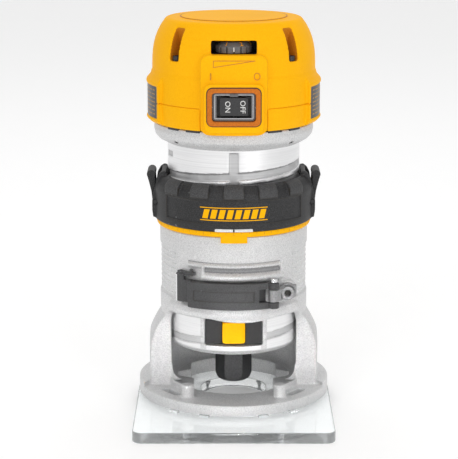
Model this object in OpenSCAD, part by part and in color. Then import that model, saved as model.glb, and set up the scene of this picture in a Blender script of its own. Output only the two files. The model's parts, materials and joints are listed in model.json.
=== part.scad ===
// Compact router: a round motor clamped in a fixed base, with a depth ring and a clear sub-base.
// The spindle axis is Z, the front faces -Y, and z = 0 is the underside of the sub-base.
// Angles named theta start at the front (-Y) and grow towards +X. All sizes are millimetres.

/* [Motor] */
// Diameter of the machined motor barrel
barrel_d = 69; // [68.6:0.1:69.2]
// Height of the barrel's lower end, with the motor at its middle depth
barrel_bottom = 33.7; // [32:0.1:35]
// Height at which the flange leaves the barrel
flange_bottom = 141.9; // [140:0.1:143]
// Motor travel for one turn of the depth ring
depth_per_turn = 12.7; // [12:0.1:13.2]
// Width of the helical grooves
groove_w = 4.1; // [3.8:0.1:4.4]
// Width of the upright key groove
key_groove_w = 5.2; // [4.8:0.1:5.6]

/* [Motor cap] */
// Diameter of the cap at its widest
cap_d = 87.4; // [86:0.2:89]
// Height of the cap's lower rim
cap_bottom = 152.3; // [152:0.1:153]
// Height of the joint between the two cap shells
cap_joint = 163.9; // [162:0.1:166]
// Height of the crease where the dome starts
cap_crease = 179; // [178:0.1:180]
// Height of the dome's rim
cap_rim = 205.3; // [204:0.1:207]
// Wall thickness of the cap
cap_wall = 2.6; // [2.2:0.1:3]

/* [Spindle] */
// Size of the collet nut across its flats
nut_flats = 17; // [16.6:0.1:17.4]
// Diameter of the cutter shank that the collet holds
shank_d = 6.35; // [6:0.05:6.4]

/* [Base] */
// Outside diameter of the base sleeve
sleeve_d = 77.8; // [77.4:0.1:78.2]
// Width over the two legs
leg_span = 89.2; // [88.6:0.1:90]
// Diameter of the round foot
foot_d = 101.2; // [100:0.1:102]
// Thickness of the foot
foot_t = 5.7; // [5:0.1:6]
// Height of the window between the legs
window_top = 54.5; // [53.5:0.1:55]

/* [Sub-base] */
// Width of the clear sub-base
plate_w = 102.4; // [102:0.1:104]
// Distance from the spindle axis to the straight front edge
plate_front = 74.8; // [70:0.1:78]
// Thickness of the sub-base
plate_t = 5.65; // [5:0.05:6]
// Diameter of the opening that the cutter passes through
bit_opening_d = 34.9; // [34:0.1:36]

/* [Depth ring] */
// Outside diameter of the depth ring
ring_d = 84.4; // [84:0.1:85]
// Height of the ring's lower face
ring_bottom = 101; // [100.9:0.05:101.2]
// Height of the ring's upper rim
ring_top = 124.3; // [124:0.1:124.6]
// Swing of a release tab when it is pressed
tab_swing = 9.5; // [8:0.5:9.5]

/* [Hidden] */

$fn = 72;
past = 1;                            // how far a cutter runs past the face that it opens
touch = 0.05;                        // radial clearance of a running fit
part_gap = 0.3;                      // clearance between faces that pass each other

barrel_r = barrel_d / 2;
bore_r = barrel_r + 0.06;            // the sleeve, a sliding fit on the barrel
groove_depth = 0.9;
groove_floor = barrel_r - groove_depth;
groove_front_z = 127.85;             // height of the first groove at the front
groove_end_theta = 88;               // where the first groove ends
groove_low_z = 83;                   // height at which both grooves run out
nose_r = 7.5;                        // spindle nose and lower journal
shaft_r = 5;
top_journal_r = 4;
button_x = 5.9;                      // half the width of the lock button

sleeve_r = sleeve_d / 2;
leg_x = leg_span / 2;
leg_r = leg_x + 1.4;
foot_r = foot_d / 2;
foot_top = plate_t + foot_t;
foot_raised = foot_top + 2.15;
cavity_r = 35.6;                     // inside of the base below the sleeve
cavity_top = 52.5;
leg_front = -14;                     // front face of the legs
neck_r = 37.2;
neck_top = 103.3;
sleeve_top = 97.8;
post_x = 24;
post_y = 33.5;
post_r = 3.35;
post_top = 18;
screw_r = 2;

ring_r = ring_d / 2;
pin_r = 1.4;
pin_z = groove_front_z - depth_per_turn * 1.75 + 0.5;   // guide pins, under the grooves' upper flanks
pin_tip = barrel_r - 0.62;
pivot_x = 40.7;
pivot_z = 110.4;
pivot_r = 1.25;
tab_half_w = 7.8;
ear_half_w = 11;

hinge_x = 20.4;
hinge_y = -41.25;
hinge_r = 1.25;
knuckle_r = 2.8;
lever_low = 61;
lever_high = 74.6;
strap_low = 64.8;
strap_high = 71.1;
eye_x = 27.8;
eye_z = 67.5;

console_x = 16.7;
console_y = -45.2;
console_low = 151;
console_high = 191.2;
rocker_y = -43.4;
dial_y = -29.6;
scoop_z = 186.3;                     // floor of the four air scoops
scoop_w = 6.5;
scoop_theta = 46.2;
boss_r = 38.6;                       // radius of the circle that the cap screws stand on
boss_theta = 47.6;

yellow = [1, 0.72, 0.07];
cast_grey = [0.78, 0.78, 0.79];
black = [0.2, 0.2, 0.21];
steel = [0.62, 0.63, 0.65];
bright = [0.88, 0.89, 0.9];
copper = [0.72, 0.42, 0.2];

// ---- shared shapes ----

// A ring about Z.
module ring(r_in, r_out, z0, z1) {
  rotate_extrude()
    translate([r_in, z0])
      square([r_out - r_in, z1 - z0]);
}

// A solid disc or post about Z.
module post(r, z0, z1) {
  translate([0, 0, z0])
    cylinder(r = r, h = z1 - z0);
}

// Part of a revolved profile, from theta0 to theta1.
module sweep_about_z(theta0, theta1) {
  rotate([0, 0, theta0 - 90])
    rotate_extrude(angle = theta1 - theta0)
      children();
}

// Part of a ring, from theta0 to theta1.
module ring_part(r_in, r_out, z0, z1, theta0, theta1) {
  sweep_about_z(theta0, theta1)
    translate([r_in, z0])
      square([r_out - r_in, z1 - z0]);
}

// A block between two opposite corners.
module block(low, high) {
  translate(low)
    cube(high - low);
}

// A rod along Y or X.
module rod_y(x, z, r, y0, y1) {
  translate([x, y1, z])
    rotate([90, 0, 0])
      cylinder(r = r, h = y1 - y0);
}
module rod_x(y, z, r, x0, x1) {
  translate([x0, y, z])
    rotate([0, 90, 0])
      cylinder(r = r, h = x1 - x0);
}

// A side view (x, z) made solid between two values of y, and a side view (y, z) between two of x.
module side_xz(y0, y1) {
  translate([0, y1, 0])
    rotate([90, 0, 0])
      linear_extrude(y1 - y0)
        children();
}
module side_yz(x0, x1) {
  translate([x0, 0, 0])
    rotate([90, 0, 90])
      linear_extrude(x1 - x0)
        children();
}

// A flat rectangle with round corners.
module round_rect(low, high, r) {
  translate([low.x + r, low.y])
    square([high.x - low.x - 2 * r, high.y - low.y]);
  translate([low.x, low.y + r])
    square([high.x - low.x, high.y - low.y - 2 * r]);
  for (x = [low.x + r, high.x - r], y = [low.y + r, high.y - r])
    translate([x, y])
      circle(r = r);
}

// A solid skinned over a list of rings of points.
module skin(rings) {
  n = len(rings[0]);
  m = len(rings);
  points = [for (r = rings) each r];
  sides = [
    for (i = [0:m - 2], k = [0:n - 1])
      let (a = i * n + k, b = i * n + (k + 1) % n)
        each [[a, b, b + n], [a, b + n, a + n]]
  ];
  polyhedron(points, concat(
    [[for (k = [n - 1:-1:0]) k]],
    sides,
    [[for (k = [0:n - 1]) (m - 1) * n + k]]
  ));
}

// A square-sided helical bar that cuts a groove. z_front is its height at theta = 0.
module helix_bar(theta0, theta1, z_front, w, r_in, r_out) {
  step = 10;
  n = ceil((theta1 - theta0) / step);
  skin([
    for (i = [0:n])
      let (
        theta = theta0 + (theta1 - theta0) * i / n,
        z = z_front + depth_per_turn * theta / 360,
        u = [sin(theta), -cos(theta)]
      )
        [
          [r_in * u.x, r_in * u.y, z - w / 2], [r_out * u.x, r_out * u.y, z - w / 2],
          [r_out * u.x, r_out * u.y, z + w / 2], [r_in * u.x, r_in * u.y, z + w / 2]
        ]
  ]);
}

// A coil spring about Z with round wire.
module coil(r, wire_r, length, turns) {
  per_turn = 14;
  sides = 6;
  n = turns * per_turn;
  skin([
    for (i = [0:n])
      let (a = 360 * i / per_turn, z = wire_r + (length - 2 * wire_r) * i / n)
        [
          for (k = [0:sides - 1])
            let (q = -360 * k / sides, d = r + wire_r * cos(q))
              [d * cos(a), d * sin(a), z + wire_r * sin(q)]
        ]
  ]);
}

// The same thing on both sides of the tool.
module both_sides() {
  children();
  mirror([1, 0, 0])
    children();
}

// Children turned to each of the four air scoops.
module at_scoops() {
  for (theta = [-scoop_theta, scoop_theta, 180 - scoop_theta, 180 + scoop_theta])
    rotate([0, 0, theta])
      children();
}

// Children at each place of the four cap screws.
module at_cap_screws() {
  for (theta = [-boss_theta, boss_theta, 180 - boss_theta, 180 + boss_theta])
    rotate([0, 0, theta])
      translate([0, -boss_r, 0])
        children();
}

// ---- base ----

// Radius of the shoulder where the legs grow out of the sleeve.
function shoulder_r(z) = sleeve_r - 0.2 + (leg_r - sleeve_r + 0.2) * (1 - pow((z - 33) / 17.8, 1.6));

module base_revolved() {
  shoulder = [for (z = [33.5:1.5:50]) [shoulder_r(z), z]];
  rotate_extrude()
    polygon(concat(
      [[cavity_r, plate_t + 1], [leg_r, plate_t + 1]],
      shoulder,
      [
        [sleeve_r - 0.2, 50.8], [sleeve_r, 53], [sleeve_r, sleeve_top], [neck_r, sleeve_top],
        [neck_r, neck_top], [bore_r, neck_top], [bore_r, cavity_top + 1], [cavity_r, cavity_top]
      ]
    ));
}

// The hood over the lever: a ledge, a hollow below it, and a full lip that starts further right.
module lever_hood() {
  sweep_about_z(-36.5, -22.4)
    polygon([
      [37.5, 83.7], [39.05, 83.55], [40.3, 82.9], [40.6, 82.1], [40.1, 81.3], [39.05, 80.8],
      [37.5, 80.8]
    ]);
  sweep_about_z(-23.5, 37.5)
    polygon([
      [37, 83.9], [39.1, 83.7], [40.5, 83], [40.8, 82.2], [40, 81.3], [39.3, 80.7], [39.3, 79.7],
      [41.2, 78.9], [42.7, 78], [43.1, 76.9], [42.6, 75.6], [41.5, 75], [37, 75]
    ]);
  ring_part(37.7, 41.9, 77, 82.8, 35.7, 37.3);
  ring_part(37.8, 41.95, 77.1, 82.7, -23.3, -21.9);
}

// Height of the lip's lower edge, which dips in the middle.
function lip_low(theta) = window_top + 0.1 - 1.9 * (1 - pow((theta - 8) / 27, 2));

// The rounded lip above the window, and its low middle.
module window_lip() {
  sweep_about_z(-56, 56)
    polygon([
      [37.2, 61.5], [39.2, 61.2], [40.7, 59.6], [41.2, 57], [40.8, 55.1], [39.6, window_top - 0.3],
      [37.2, window_top - 0.3]
    ]);
  skin([
    for (theta = [-18:4:34])
      let (u = [sin(theta), -cos(theta)], z_top = window_top + 1.2)
        [
          [36.3 * u.x, 36.3 * u.y, lip_low(theta)], [40.3 * u.x, 40.3 * u.y, lip_low(theta)],
          [40.3 * u.x, 40.3 * u.y, z_top], [36.3 * u.x, 36.3 * u.y, z_top]
        ]
  ]);
}

module foot_opening() {
  difference() {
    circle(r = 29.2);
    both_sides() {
      translate([21.2, -24])
        square([12, 22]);
      polygon([[21.2, -2.2], [29.5, 2.2], [34, -4], [21.2, -4]]);
      polygon([[23, 7], [29.5, 2.4], [34, 4], [34, 20], [23, 20]]);
    }
  }
}

module foot_outline() {
  circle(r = foot_r);
}

// The part of the foot behind the front pocket, which is a step higher.
module foot_raised_outline() {
  intersection() {
    circle(r = foot_r);
    polygon([[-60.5, -40], [-36, 2.6], [36, 2.6], [60.5, -40], [60.5, 60], [-60.5, 60]]);
  }
}

module foot() {
  translate([0, 0, plate_t])
    linear_extrude(foot_t)
      foot_outline();
  translate([0, 0, foot_top - past])
    linear_extrude(foot_raised - foot_top + past)
      foot_raised_outline();
}

// Front opening between the legs, with a round inner corner below the sleeve.
module leg_window() {
  corner = 9;
  side_yz(-60, 60) {
    translate([-70, foot_top])
      square([70 + leg_front, window_top - corner - foot_top]);
    translate([-70, foot_top])
      square([70 + leg_front - corner, window_top - foot_top]);
    translate([leg_front - corner, window_top - corner])
      circle(r = corner);
  }
}

// Curved slot in the foot for an edge guide's screw.
module foot_slot() {
  slot_r = 41.8;
  ring_part(slot_r - 2.1, slot_r + 2.1, plate_t - past, foot_raised + past, 45, 58);
  for (theta = [45, 58])
    rotate([0, 0, theta])
      translate([0, -slot_r, 0])
        post(2.1, plate_t - past, foot_raised + past);
}

module base_casting() {
  color(cast_grey)
    difference() {
      union() {
        difference() {
          intersection() {
            base_revolved();
            block([-leg_x, -60, 0], [leg_x, 43.5, 120]);
          }
          leg_window();
        }
        foot();
        for (y = [-post_y, post_y])
          both_sides()
            translate([post_x, y, 0])
              post(post_r, foot_top - past, post_top);
        both_sides()
          ring_part(32.4, 36.4, foot_top - past, foot_top + 3.6, 42, 66);
        lever_hood();
        window_lip();
        rod_y(eye_x, eye_z, 5.2, -30, -20);
      }
      post(bore_r, cavity_top + 1, neck_top + past);
      post(cavity_r, foot_raised + 0.02, cavity_top + 1);
      translate([0, 0, plate_t - past])
        linear_extrude(foot_raised - plate_t + 2 * past)
          foot_opening();
      both_sides() {
        foot_slot();
        ring_part(sleeve_r - 1.1, 50, 62, 87.6, 50.3, 129.7);
      }
      for (y = [-post_y, post_y])
        both_sides()
          translate([post_x, y, 0])
            post(screw_r, plate_t - past, 15);
      block([-15.7, -50, window_top - 3], [-14.9, -30, 73.9]);
      ring_part(30, 41.2, 73, 73.9, -37, 37);
      rod_y(0, 91, 2.3, -37.8, -30);
      rod_y(eye_x, eye_z, screw_r, -30 - past, -24);
      rotate_extrude()
        translate([neck_r + 0.1, 102.4])
          circle(r = 0.6);
    }
}

module sub_base() {
  half_w = plate_w / 2;
  color([0.86, 0.9, 0.92, 0.45])
    difference() {
      union() {
        linear_extrude(plate_t) {
          circle(r = half_w);
          round_rect([-half_w, -plate_front], [half_w, 5], 5);
        }
        for (theta = [-36.4, -17, 17, 36.4])
          rotate([0, 0, theta])
            translate([0, -foot_r - 2.1, 0])
              post(1.8, plate_t - past, plate_t + 0.9);
      }
      post(bit_opening_d / 2, -past, plate_t + past);
      for (x = [-post_x, post_x], y = [-post_y, post_y])
        translate([x, y, 0]) {
          post(screw_r + 0.2, -past, plate_t + past);
          translate([0, 0, -0.01])
            cylinder(r1 = 4.6, r2 = screw_r + 0.2, h = 2.41);
        }
    }
}

module sub_base_screws() {
  color(steel)
    for (x = [-post_x, post_x], y = [-post_y, post_y])
      translate([x, y, 0])
        difference() {
          union() {
            translate([0, 0, 0.3])
              cylinder(r1 = 3.9, r2 = screw_r, h = 2.1);
            post(screw_r, 2.3, 14.4);
          }
          block([-0.5, -3, -past], [0.5, 3, 1.2]);
          block([-3, -0.5, -past], [3, 0.5, 1.2]);
        }
}

module guide_dowel() {
  color(steel)
    rod_y(0, 91, 2.3, -37.7, -33.9);
}

module ring_retainer() {
  color(steel)
    sweep_about_z(12, 348)
      translate([neck_r + 0.1, 102.4])
        circle(r = 0.55);
}

// ---- clamp ----

module catch_plate() {
  color([0.36, 0.36, 0.37])
    union() {
      ring_part(41.2, 42.8, 62.3, 77.3, -44.4, -37.5);
      ring_part(41.25, 42.75, 62.6, 74.5, -38, -31.2);
      ring_part(39.2, 41.9, 62.5, 78.6, -44.2, -41.9);
      ring_part(39.3, 41.8, 76.6, 78.4, -43, -29.8);
      rotate([0, 0, -32.4])
        translate([0, -40.7, 0])
          post(0.95, 77, 80.2);
    }
}

module hinge_strap() {
  color([0.48, 0.48, 0.49])
    difference() {
      union() {
        translate([hinge_x, hinge_y, 0])
          post(knuckle_r, strap_low, strap_high);
        translate([0, 0, strap_low])
          linear_extrude(strap_high - strap_low)
            polygon([
              [hinge_x + 0.5, hinge_y - 2.2], [25.6, -39.4], [28.4, -34.2],
              [32.4, -32], [32.4, -30.05], [25.2, -30.05], [24.4, -33], [21.8, -38.9]
            ]);
        rod_y(eye_x, eye_z, 4.6, -32, -30.05);
      }
      translate([hinge_x, hinge_y, 0])
        post(hinge_r, strap_low - past, strap_high + past);
      rod_y(eye_x, eye_z, screw_r + 0.15, -40, -29);
      rod_y(eye_x, eye_z, 3.7, -45, -32);
      post(sleeve_r + 0.1, 55, 80);
    }
}

module clamp_screw() {
  color([0.3, 0.3, 0.31])
    difference() {
      union() {
        rod_y(eye_x, eye_z, 3.5, -35.6, -32);
        rod_y(eye_x, eye_z, screw_r, -32.5, -24.3);
      }
      translate([eye_x, -33.4, eye_z])
        rotate([90, 0, 0])
          cylinder(r = 1.9, h = 5, $fn = 6);
    }
}

module lever_pin() {
  color(steel)
    translate([hinge_x, hinge_y, 0])
      union() {
        post(hinge_r, lever_low - 0.4, lever_high + 0.3);
        post(1.9, lever_high + 0.25, lever_high + 2.4);
      }
}

module clamp_lever() {
  skin_in = 43.9;
  skin_out = 45.7;
  color([0.33, 0.33, 0.34])
    difference() {
      union() {
        sweep_about_z(-29.6, 23.5)
          polygon([
            [41.6, lever_low], [skin_out, lever_low], [skin_out, lever_high], [41.6, lever_high],
            [41.6, lever_high - 1.5], [skin_in, lever_high - 1.5], [skin_in, lever_low + 1.5],
            [41.6, lever_low + 1.5]
          ]);
        ring_part(41.75, 44.3, lever_low + 0.6, lever_high - 0.6, 14.5, 22.9);
        ring_part(skin_in + 0.1, skin_out - 0.1, lever_low + 0.15, lever_high - 0.15, -31.4, -29);
        ring_part(skin_in + 0.1, skin_out - 0.1, lever_low + 0.15, lever_high - 0.15, 23, 28.6);
        translate([hinge_x, hinge_y, 0])
          post(knuckle_r, lever_low + 0.3, lever_high - 0.1);
      }
      ring_part(skin_out - 0.5, skin_out + 3, 65, 70.5, -27, 13.3);
      block([17.3, -49, strap_low - part_gap - 0.01], [32, -34, strap_high + part_gap + 0.01]);
      ring_part(42.5, 50, strap_low - part_gap, strap_high + part_gap, 16.6, 28);
      translate([hinge_x, hinge_y, 0])
        post(hinge_r + touch, lever_low - past, lever_high + past);
    }
}

// ---- depth ring ----

module scale_ring() {
  color(yellow)
    union() {
      rotate_extrude()
        polygon([
          [neck_r + 0.08, 98.1], [40.1, 98.1], [40.6, 99.4], [40.6, 100.7], [neck_r + 0.08, 100.7]
        ]);
      ring_part(39.25, 40.3, 94.9, 98.6, -9.6, 9.8);
    }
}

module ring_revolved() {
  rotate_extrude()
    polygon([
      [neck_r + 0.08, ring_bottom], [41.4, ring_bottom], [42, 101.7], [ring_r, 104.2],
      [ring_r, 117.6], [41.4, 120.6], [39.4, 123.5], [38.2, ring_top],
      [35.4, ring_top], [35, 123.8], [35, 103.6], [neck_r + 0.08, 103.6]
    ]);
}

// One raised grip pad on the ring's shoulder.
module ring_pad() {
  sweep_about_z(-7, 7)
    polygon([[38, 118], [42.9, 118], [42.8, 121.4], [41.6, 123.6], [39.8, 124.7], [38, 124.7]]);
}

// The plain sunk panels at the front and the back of the ring.
module ring_panels() {
  for (theta = [-55, 125])
    ring_part(ring_r - 0.55, 50, 105.2, 116.8, theta, theta + 110);
}

// Side ears that carry a tab's pivot pin.
module tab_ears() {
  ear = [
    [37.9, 102.2], [42.1, 102.2], [42.6, 106], [42.6, 111], [41.9, 115], [40.8, 119.4],
    [40.3, 122.6], [38.8, 125.4], [36.9, 126.8], [35.2, 126.4], [34, 122], [34.4, 104.3], [37.8, 104.3]
  ];
  for (y = [-ear_half_w, tab_half_w + part_gap])
    side_xz(y, y + ear_half_w - tab_half_w - part_gap)
      polygon(ear);
}

module depth_ring() {
  color(black)
    difference() {
      union() {
        difference() {
          ring_revolved();
          ring_panels();
        }
        for (theta = [0, 24.5, 49, 131, 155.5, 180, 204.5, 229, 311, 335.5])
          rotate([0, 0, theta])
            ring_pad();
        both_sides() {
          tab_ears();
          block([35.2, -tab_half_w - 1, 116], [37.6, tab_half_w + 1, 126.3]);
        }
      }
      post(34.9, 103.9, 130);
      both_sides() {
        block([36, -tab_half_w - part_gap, ring_bottom - past], [50, tab_half_w + part_gap, 103.95]);
        block([37.7, -tab_half_w - part_gap, ring_bottom - past], [50, tab_half_w + part_gap, 130]);
        block([30, -pin_r - 0.4, pin_z - 2.45], [40, pin_r + 0.4, pin_z + pin_r + 0.4]);
        rod_y(pivot_x, pivot_z, pivot_r, -20, 20);
      }
      rotate_extrude()
        translate([neck_r + 0.1, 102.4])
          circle(r = 0.8);
      ring_part(40.4, 45, ring_bottom - past, 102.6, -13.6, 13.6);
    }
}

module scale_window() {
  color([0.92, 0.92, 0.92])
    difference() {
      ring_part(40.45, 41.6, ring_bottom + 0.05, 102.55, -13.5, 13.5);
      rotate([0, 0, 0])
        block([-0.35, -43, 100], [0.35, -41, 103]);
    }
}

module tab_pins() {
  color(bright)
    both_sides()
      rod_y(pivot_x, pivot_z, pivot_r, -ear_half_w - 0.2, ear_half_w + 0.2);
}

module tab_springs() {
  color(steel)
    both_sides()
      translate([pivot_x, -1.7, pivot_z])
        rotate([-90, 0, 0])
          coil(1.75, 0.35, 3.4, 4);
}

// The right tab. Its lower end carries the guide pin, and its top is the finger knob.
module tab_solid() {
  difference() {
    union() {
      side_xz(-tab_half_w, tab_half_w) {
        polygon([
          [38.6, 101.5], [41.6, 101.3], [42.1, 102.6], [42.3, 106], [42.6, 111], [43.1, 115.4],
          [44.2, 120], [45.2, 123.6], [41.2, 124], [40.9, 119], [39.9, 114], [38.7, 109]
        ]);
        translate([43.1, 124.3])
          circle(r = 2.3);
      }
    }
    rod_y(pivot_x, pivot_z, pivot_r + touch, -20, 20);
    rod_x(0, pin_z, pin_r, 30, 40.6);
    block([37, -2.2, pivot_z - 2.5], [46, 2.2, pivot_z + 2.5]);
  }
}

module release_tab_right() {
  color(black)
    tab_solid();
}

module release_tab_left() {
  color(black)
    mirror([1, 0, 0])
      tab_solid();
}

module guide_pin_right() {
  color(steel)
    rod_x(0, pin_z, pin_r, pin_tip, 40.5);
}

module guide_pin_left() {
  color(steel)
    mirror([1, 0, 0])
      rod_x(0, pin_z, pin_r, pin_tip, 40.5);
}

// ---- motor housing ----

// Outer and inner line of the housing, from the nose to the flange's rim.
module housing_revolved() {
  rotate_extrude()
    polygon([
      [11, barrel_bottom], [barrel_r - 1.9, barrel_bottom], [barrel_r, 36], [barrel_r, flange_bottom],
      [36.4, 142.3], [39.2, 143.8], [40.9, 145.8], [41.6, 148.6], [41.3, 151.9],
      [38.6, 151.9], [38.6, 146.6], [31.2, 141], [31.2, 79], [29.6, 77], [29.6, 40],
      [19.5, 40], [19.5, 66.5], [16, 66.5], [16, 57.5], [11, 57.5]
    ]);
}

module groove_pair() {
  first = (groove_low_z - groove_front_z) / depth_per_turn * 360;
  for (turn = [0, 180])
    rotate([0, 0, turn])
      helix_bar(first, groove_end_theta, groove_front_z, groove_w, groove_floor, barrel_r + past);
}

module motor_housing() {
  color(bright)
    difference() {
      union() {
        housing_revolved();
        intersection() {
          post(30.4, 37, 60);
          block([-18, -40, 37], [18, -18.5, 60]);
        }
        at_cap_screws()
          post(2.55, 147.3, 151.9);
      }
      groove_pair();
      helix_bar(-95, 95, 41.9, groove_w, barrel_r - 0.5, barrel_r + past);
      helix_bar(-92, -66, 138.6, 2.9, barrel_r - 0.8, barrel_r + past);
      block([-key_groove_w / 2, -40, 57], [key_groove_w / 2, -groove_floor, 140.3]);
      block([-14.9, -40, 38.6], [14.9, -23.9, 58]);
      rod_y(0, 45.6, 2.6, -24.5, -9);
      at_cap_screws()
        post(1.5, 144, 153);
      for (theta = [-150, 150, -55, 55])
        rotate([0, 0, theta])
          translate([0, -24.5, 0])
            post(2.4, 30, 36.4);
      for (theta = [-90, 90, 180])
        rotate([0, 0, theta])
          ring_part(21.5, 28, 30, 41, -16, 16);
    }
}

module lock_housing() {
  color([0.24, 0.24, 0.24])
    difference() {
      block([-14.7, -31, 38.8], [14.7, -24.1, 57.8]);
      block([-button_x - part_gap, -40, 40 - part_gap], [button_x + part_gap, -25.6, 51.3 + part_gap]);
      rod_y(0, 45.6, 2.35, -30, -20);
    }
}

module lock_spring() {
  color(steel)
    translate([0, -25.65, 45.6])
      rotate([90, 0, 0])
        coil(3.4, 0.4, 3.8, 3);
}

// Push button with the pin that locks the spindle.
module lock_button() {
  color(yellow)
    union() {
      intersection() {
        side_xz(-35, -29.5)
          round_rect([-button_x, 40], [button_x, 51.3], 1.2);
        post(34.2, 35, 60);
      }
      rod_y(0, 45.6, 2, -30, -8.4);
    }
}

module light_lenses() {
  color([0.95, 0.95, 0.9, 0.8])
    for (theta = [-150, 150, -55, 55])
      rotate([0, 0, theta])
        translate([0, -24.5, 0])
          union() {
            post(2.4, barrel_bottom, 36.4);
            translate([0, 0, barrel_bottom - 0.6])
              cylinder(r1 = 1.4, r2 = 2.3, h = 0.7);
          }
}

// ---- motor cap ----

// Outside radius of the dome.
function dome_r(z) = cap_d / 2 - 1.4 - 7 * pow((z - cap_crease) / (cap_rim - cap_crease), 3);

// Outside line of the cap from height z0 up.
function cap_line(inset) = concat(
  [[cap_d / 2 - 1.3 - inset, cap_bottom], [cap_d / 2 - 0.4 - inset, 157], [cap_d / 2 - inset, cap_joint],
   [cap_d / 2 - 0.3 - inset, 171], [cap_d / 2 - 0.8 - inset, cap_crease - 0.6]],
  [for (z = [cap_crease:3.2875:cap_rim + 0.01]) [dome_r(z) - inset, z]]
);

module cap_revolved() {
  outer = cap_line(0);
  inner = [for (p = cap_line(cap_wall)) if (p.y < cap_rim - 1) p];
  n = len(inner);
  rotate_extrude()
    polygon(concat(
      outer,
      [
        [34.2, cap_rim + 0.6], [27.6, cap_rim + 0.7], [27, cap_rim + 1.3], [0, cap_rim + 1.3],
        [0, cap_rim - 2], [inner[n - 1].x - 1.5, cap_rim - 2]
      ],
      [for (i = [n - 1:-1:0]) inner[i]]
    ));
}

// The raised console on the front, which is part of the upper shell.
module console_solid() {
  intersection() {
    side_yz(-20, 20)
      polygon([
        [console_y, console_low], [console_y, 173], [-43.4, console_high], [-37, console_high],
        [-37, 152.45], [-41.95, 152.45], [-41.95, console_low]
      ]);
    side_xz(-50, -30)
      round_rect([-console_x, console_low], [console_x, console_high], 4.5);
    translate([0, 15, 140])
      cylinder(r = 15 - console_y, h = 60);
  }
}

module switch_boss() {
  side_xz(-47.2, -38)
    round_rect([-14.9, 152.6], [14.9, 177.2], 3.6);
}

// Side lugs that frame the label plates.
module label_lugs() {
  for (theta = [58, 238])
    sweep_about_z(theta, theta + 64)
      polygon([[42, 153], [43.6, 152.9], [45.4, 154.6], [45.4, 174.2], [43, 177], [42, 177]]);
}

module label_recess() {
  for (theta = [60.5, 240.5])
    ring_part(44.5, 50, 155.6, 172.6, theta, theta + 59);
}

// An air scoop: a slot that runs down the dome to a flat floor.
module air_scoop() {
  side_yz(-scoop_w / 2, scoop_w / 2)
    polygon([[-50, scoop_z], [-31.4, scoop_z], [-31.4, 190], [-37.6, cap_rim], [-50, cap_rim]]);
}

module cap_solid() {
  difference() {
    union() {
      cap_revolved();
      label_lugs();
      console_solid();
      switch_boss();
      at_scoops()
        side_yz(-scoop_w / 2 - 2, scoop_w / 2 + 2)
          polygon([
            [-40, scoop_z - 3], [-29, scoop_z - 3], [-29, 191], [-34.5, cap_rim - 1],
            [-36, cap_rim - 1]
          ]);
      at_cap_screws()
        post(3.2, cap_bottom, scoop_z - 0.5);
    }
    at_scoops() {
      air_scoop();
      block([-scoop_w / 2 + 0.9, -33, scoop_z + 2.6], [scoop_w / 2 - 0.9, -20, 194]);
    }
    at_cap_screws()
      post(1.7, cap_bottom - past, scoop_z + past);
    label_recess();
    block([-11.4, -60, 191], [11.4, -24, 197.75]);
    side_xz(-60, -30)
      round_rect([-13.4, 156.2], [13.4, 175.3], 2.8);
    rod_y(0, 160, 5.6, 30, 60);
  }
}

// Everything that belongs to the upper shell: the dome and the console's tongue.
module upper_region() {
  post(60, cap_joint, 220);
  block([-console_x - 0.1, -60, console_low - past], [console_x + 0.1, -20, cap_joint + past]);
}

module upper_cap() {
  color(yellow)
    intersection() {
      cap_solid();
      upper_region();
    }
}

module lower_cap() {
  color(yellow)
    difference() {
      cap_solid();
      upper_region();
    }
}

module vent_grilles() {
  color(black)
    at_scoops()
      union() {
        block([-scoop_w / 2, -28.9, scoop_z - 2], [scoop_w / 2, -27.6, 196]);
        for (x = [-1.6, 0, 1.6])
          block([x - 0.35, -31.2, scoop_z + 2.9], [x + 0.35, -28.8, 192]);
      }
}

module cap_screws() {
  color(black)
    at_cap_screws()
      difference() {
        union() {
          post(1.5, 147.6, scoop_z + 0.5);
          post(2.25, scoop_z + 0.01, scoop_z + 2.5);
        }
        translate([0, 0, scoop_z + 1])
          cylinder(r = 1.25, h = 3, $fn = 6);
      }
}

module label_plates() {
  color([0.2, 0.2, 0.2])
    for (theta = [60.8, 240.8])
      ring_part(44.5, 44.85, 155.9, 172.3, theta, theta + 58.4);
}

// The socket at the back that the mains lead comes out of.
module cord_gland() {
  color(black)
    difference() {
      union() {
        rod_y(0, 160, 5.5, 36, 44.4);
        rod_y(0, 160, 7.2, 35, 37.5);
        rod_y(0, 160, 7, 43.9, 47);
      }
      rod_y(0, 160, 4, 30, 50);
    }
}

// ---- switch and speed control ----

module switch_bezel() {
  color(copper)
    difference() {
      side_xz(-47.9, -40)
        round_rect([-13.3, 156.3], [13.3, 175.2], 2.7);
      side_xz(-60, -30)
        round_rect([-10.9, 158.5], [10.9, 173], 1.6);
    }
}

module switch_body() {
  color([0.26, 0.26, 0.27])
    difference() {
      union() {
        side_xz(-45.6, -26)
          round_rect([-10.7, 158.7], [10.7, 172.8], 1.6);
        for (x = [-6, 0, 6])
          block([x - 0.4, -26.5, 161], [x + 0.4, -20, 167]);
      }
      block([-8.6, -60, 160.2], [8.6, -39.8, 171.6]);
      translate([0, rocker_y, 0])
        post(0.8 + touch, 159.2, 172.5);
    }
}

module switch_rocker() {
  color([0.16, 0.16, 0.17])
    union() {
      side_xz(-46.4, -44)
        round_rect([-7, 161.4], [7, 170.4], 0.8);
      block([-5.6, -44.2, 162], [5.6, -42, 169.8]);
      translate([0, rocker_y, 0]) {
        post(1.6, 161.4, 170.4);
        post(0.8, 159.3, 172.4);
      }
    }
}

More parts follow.
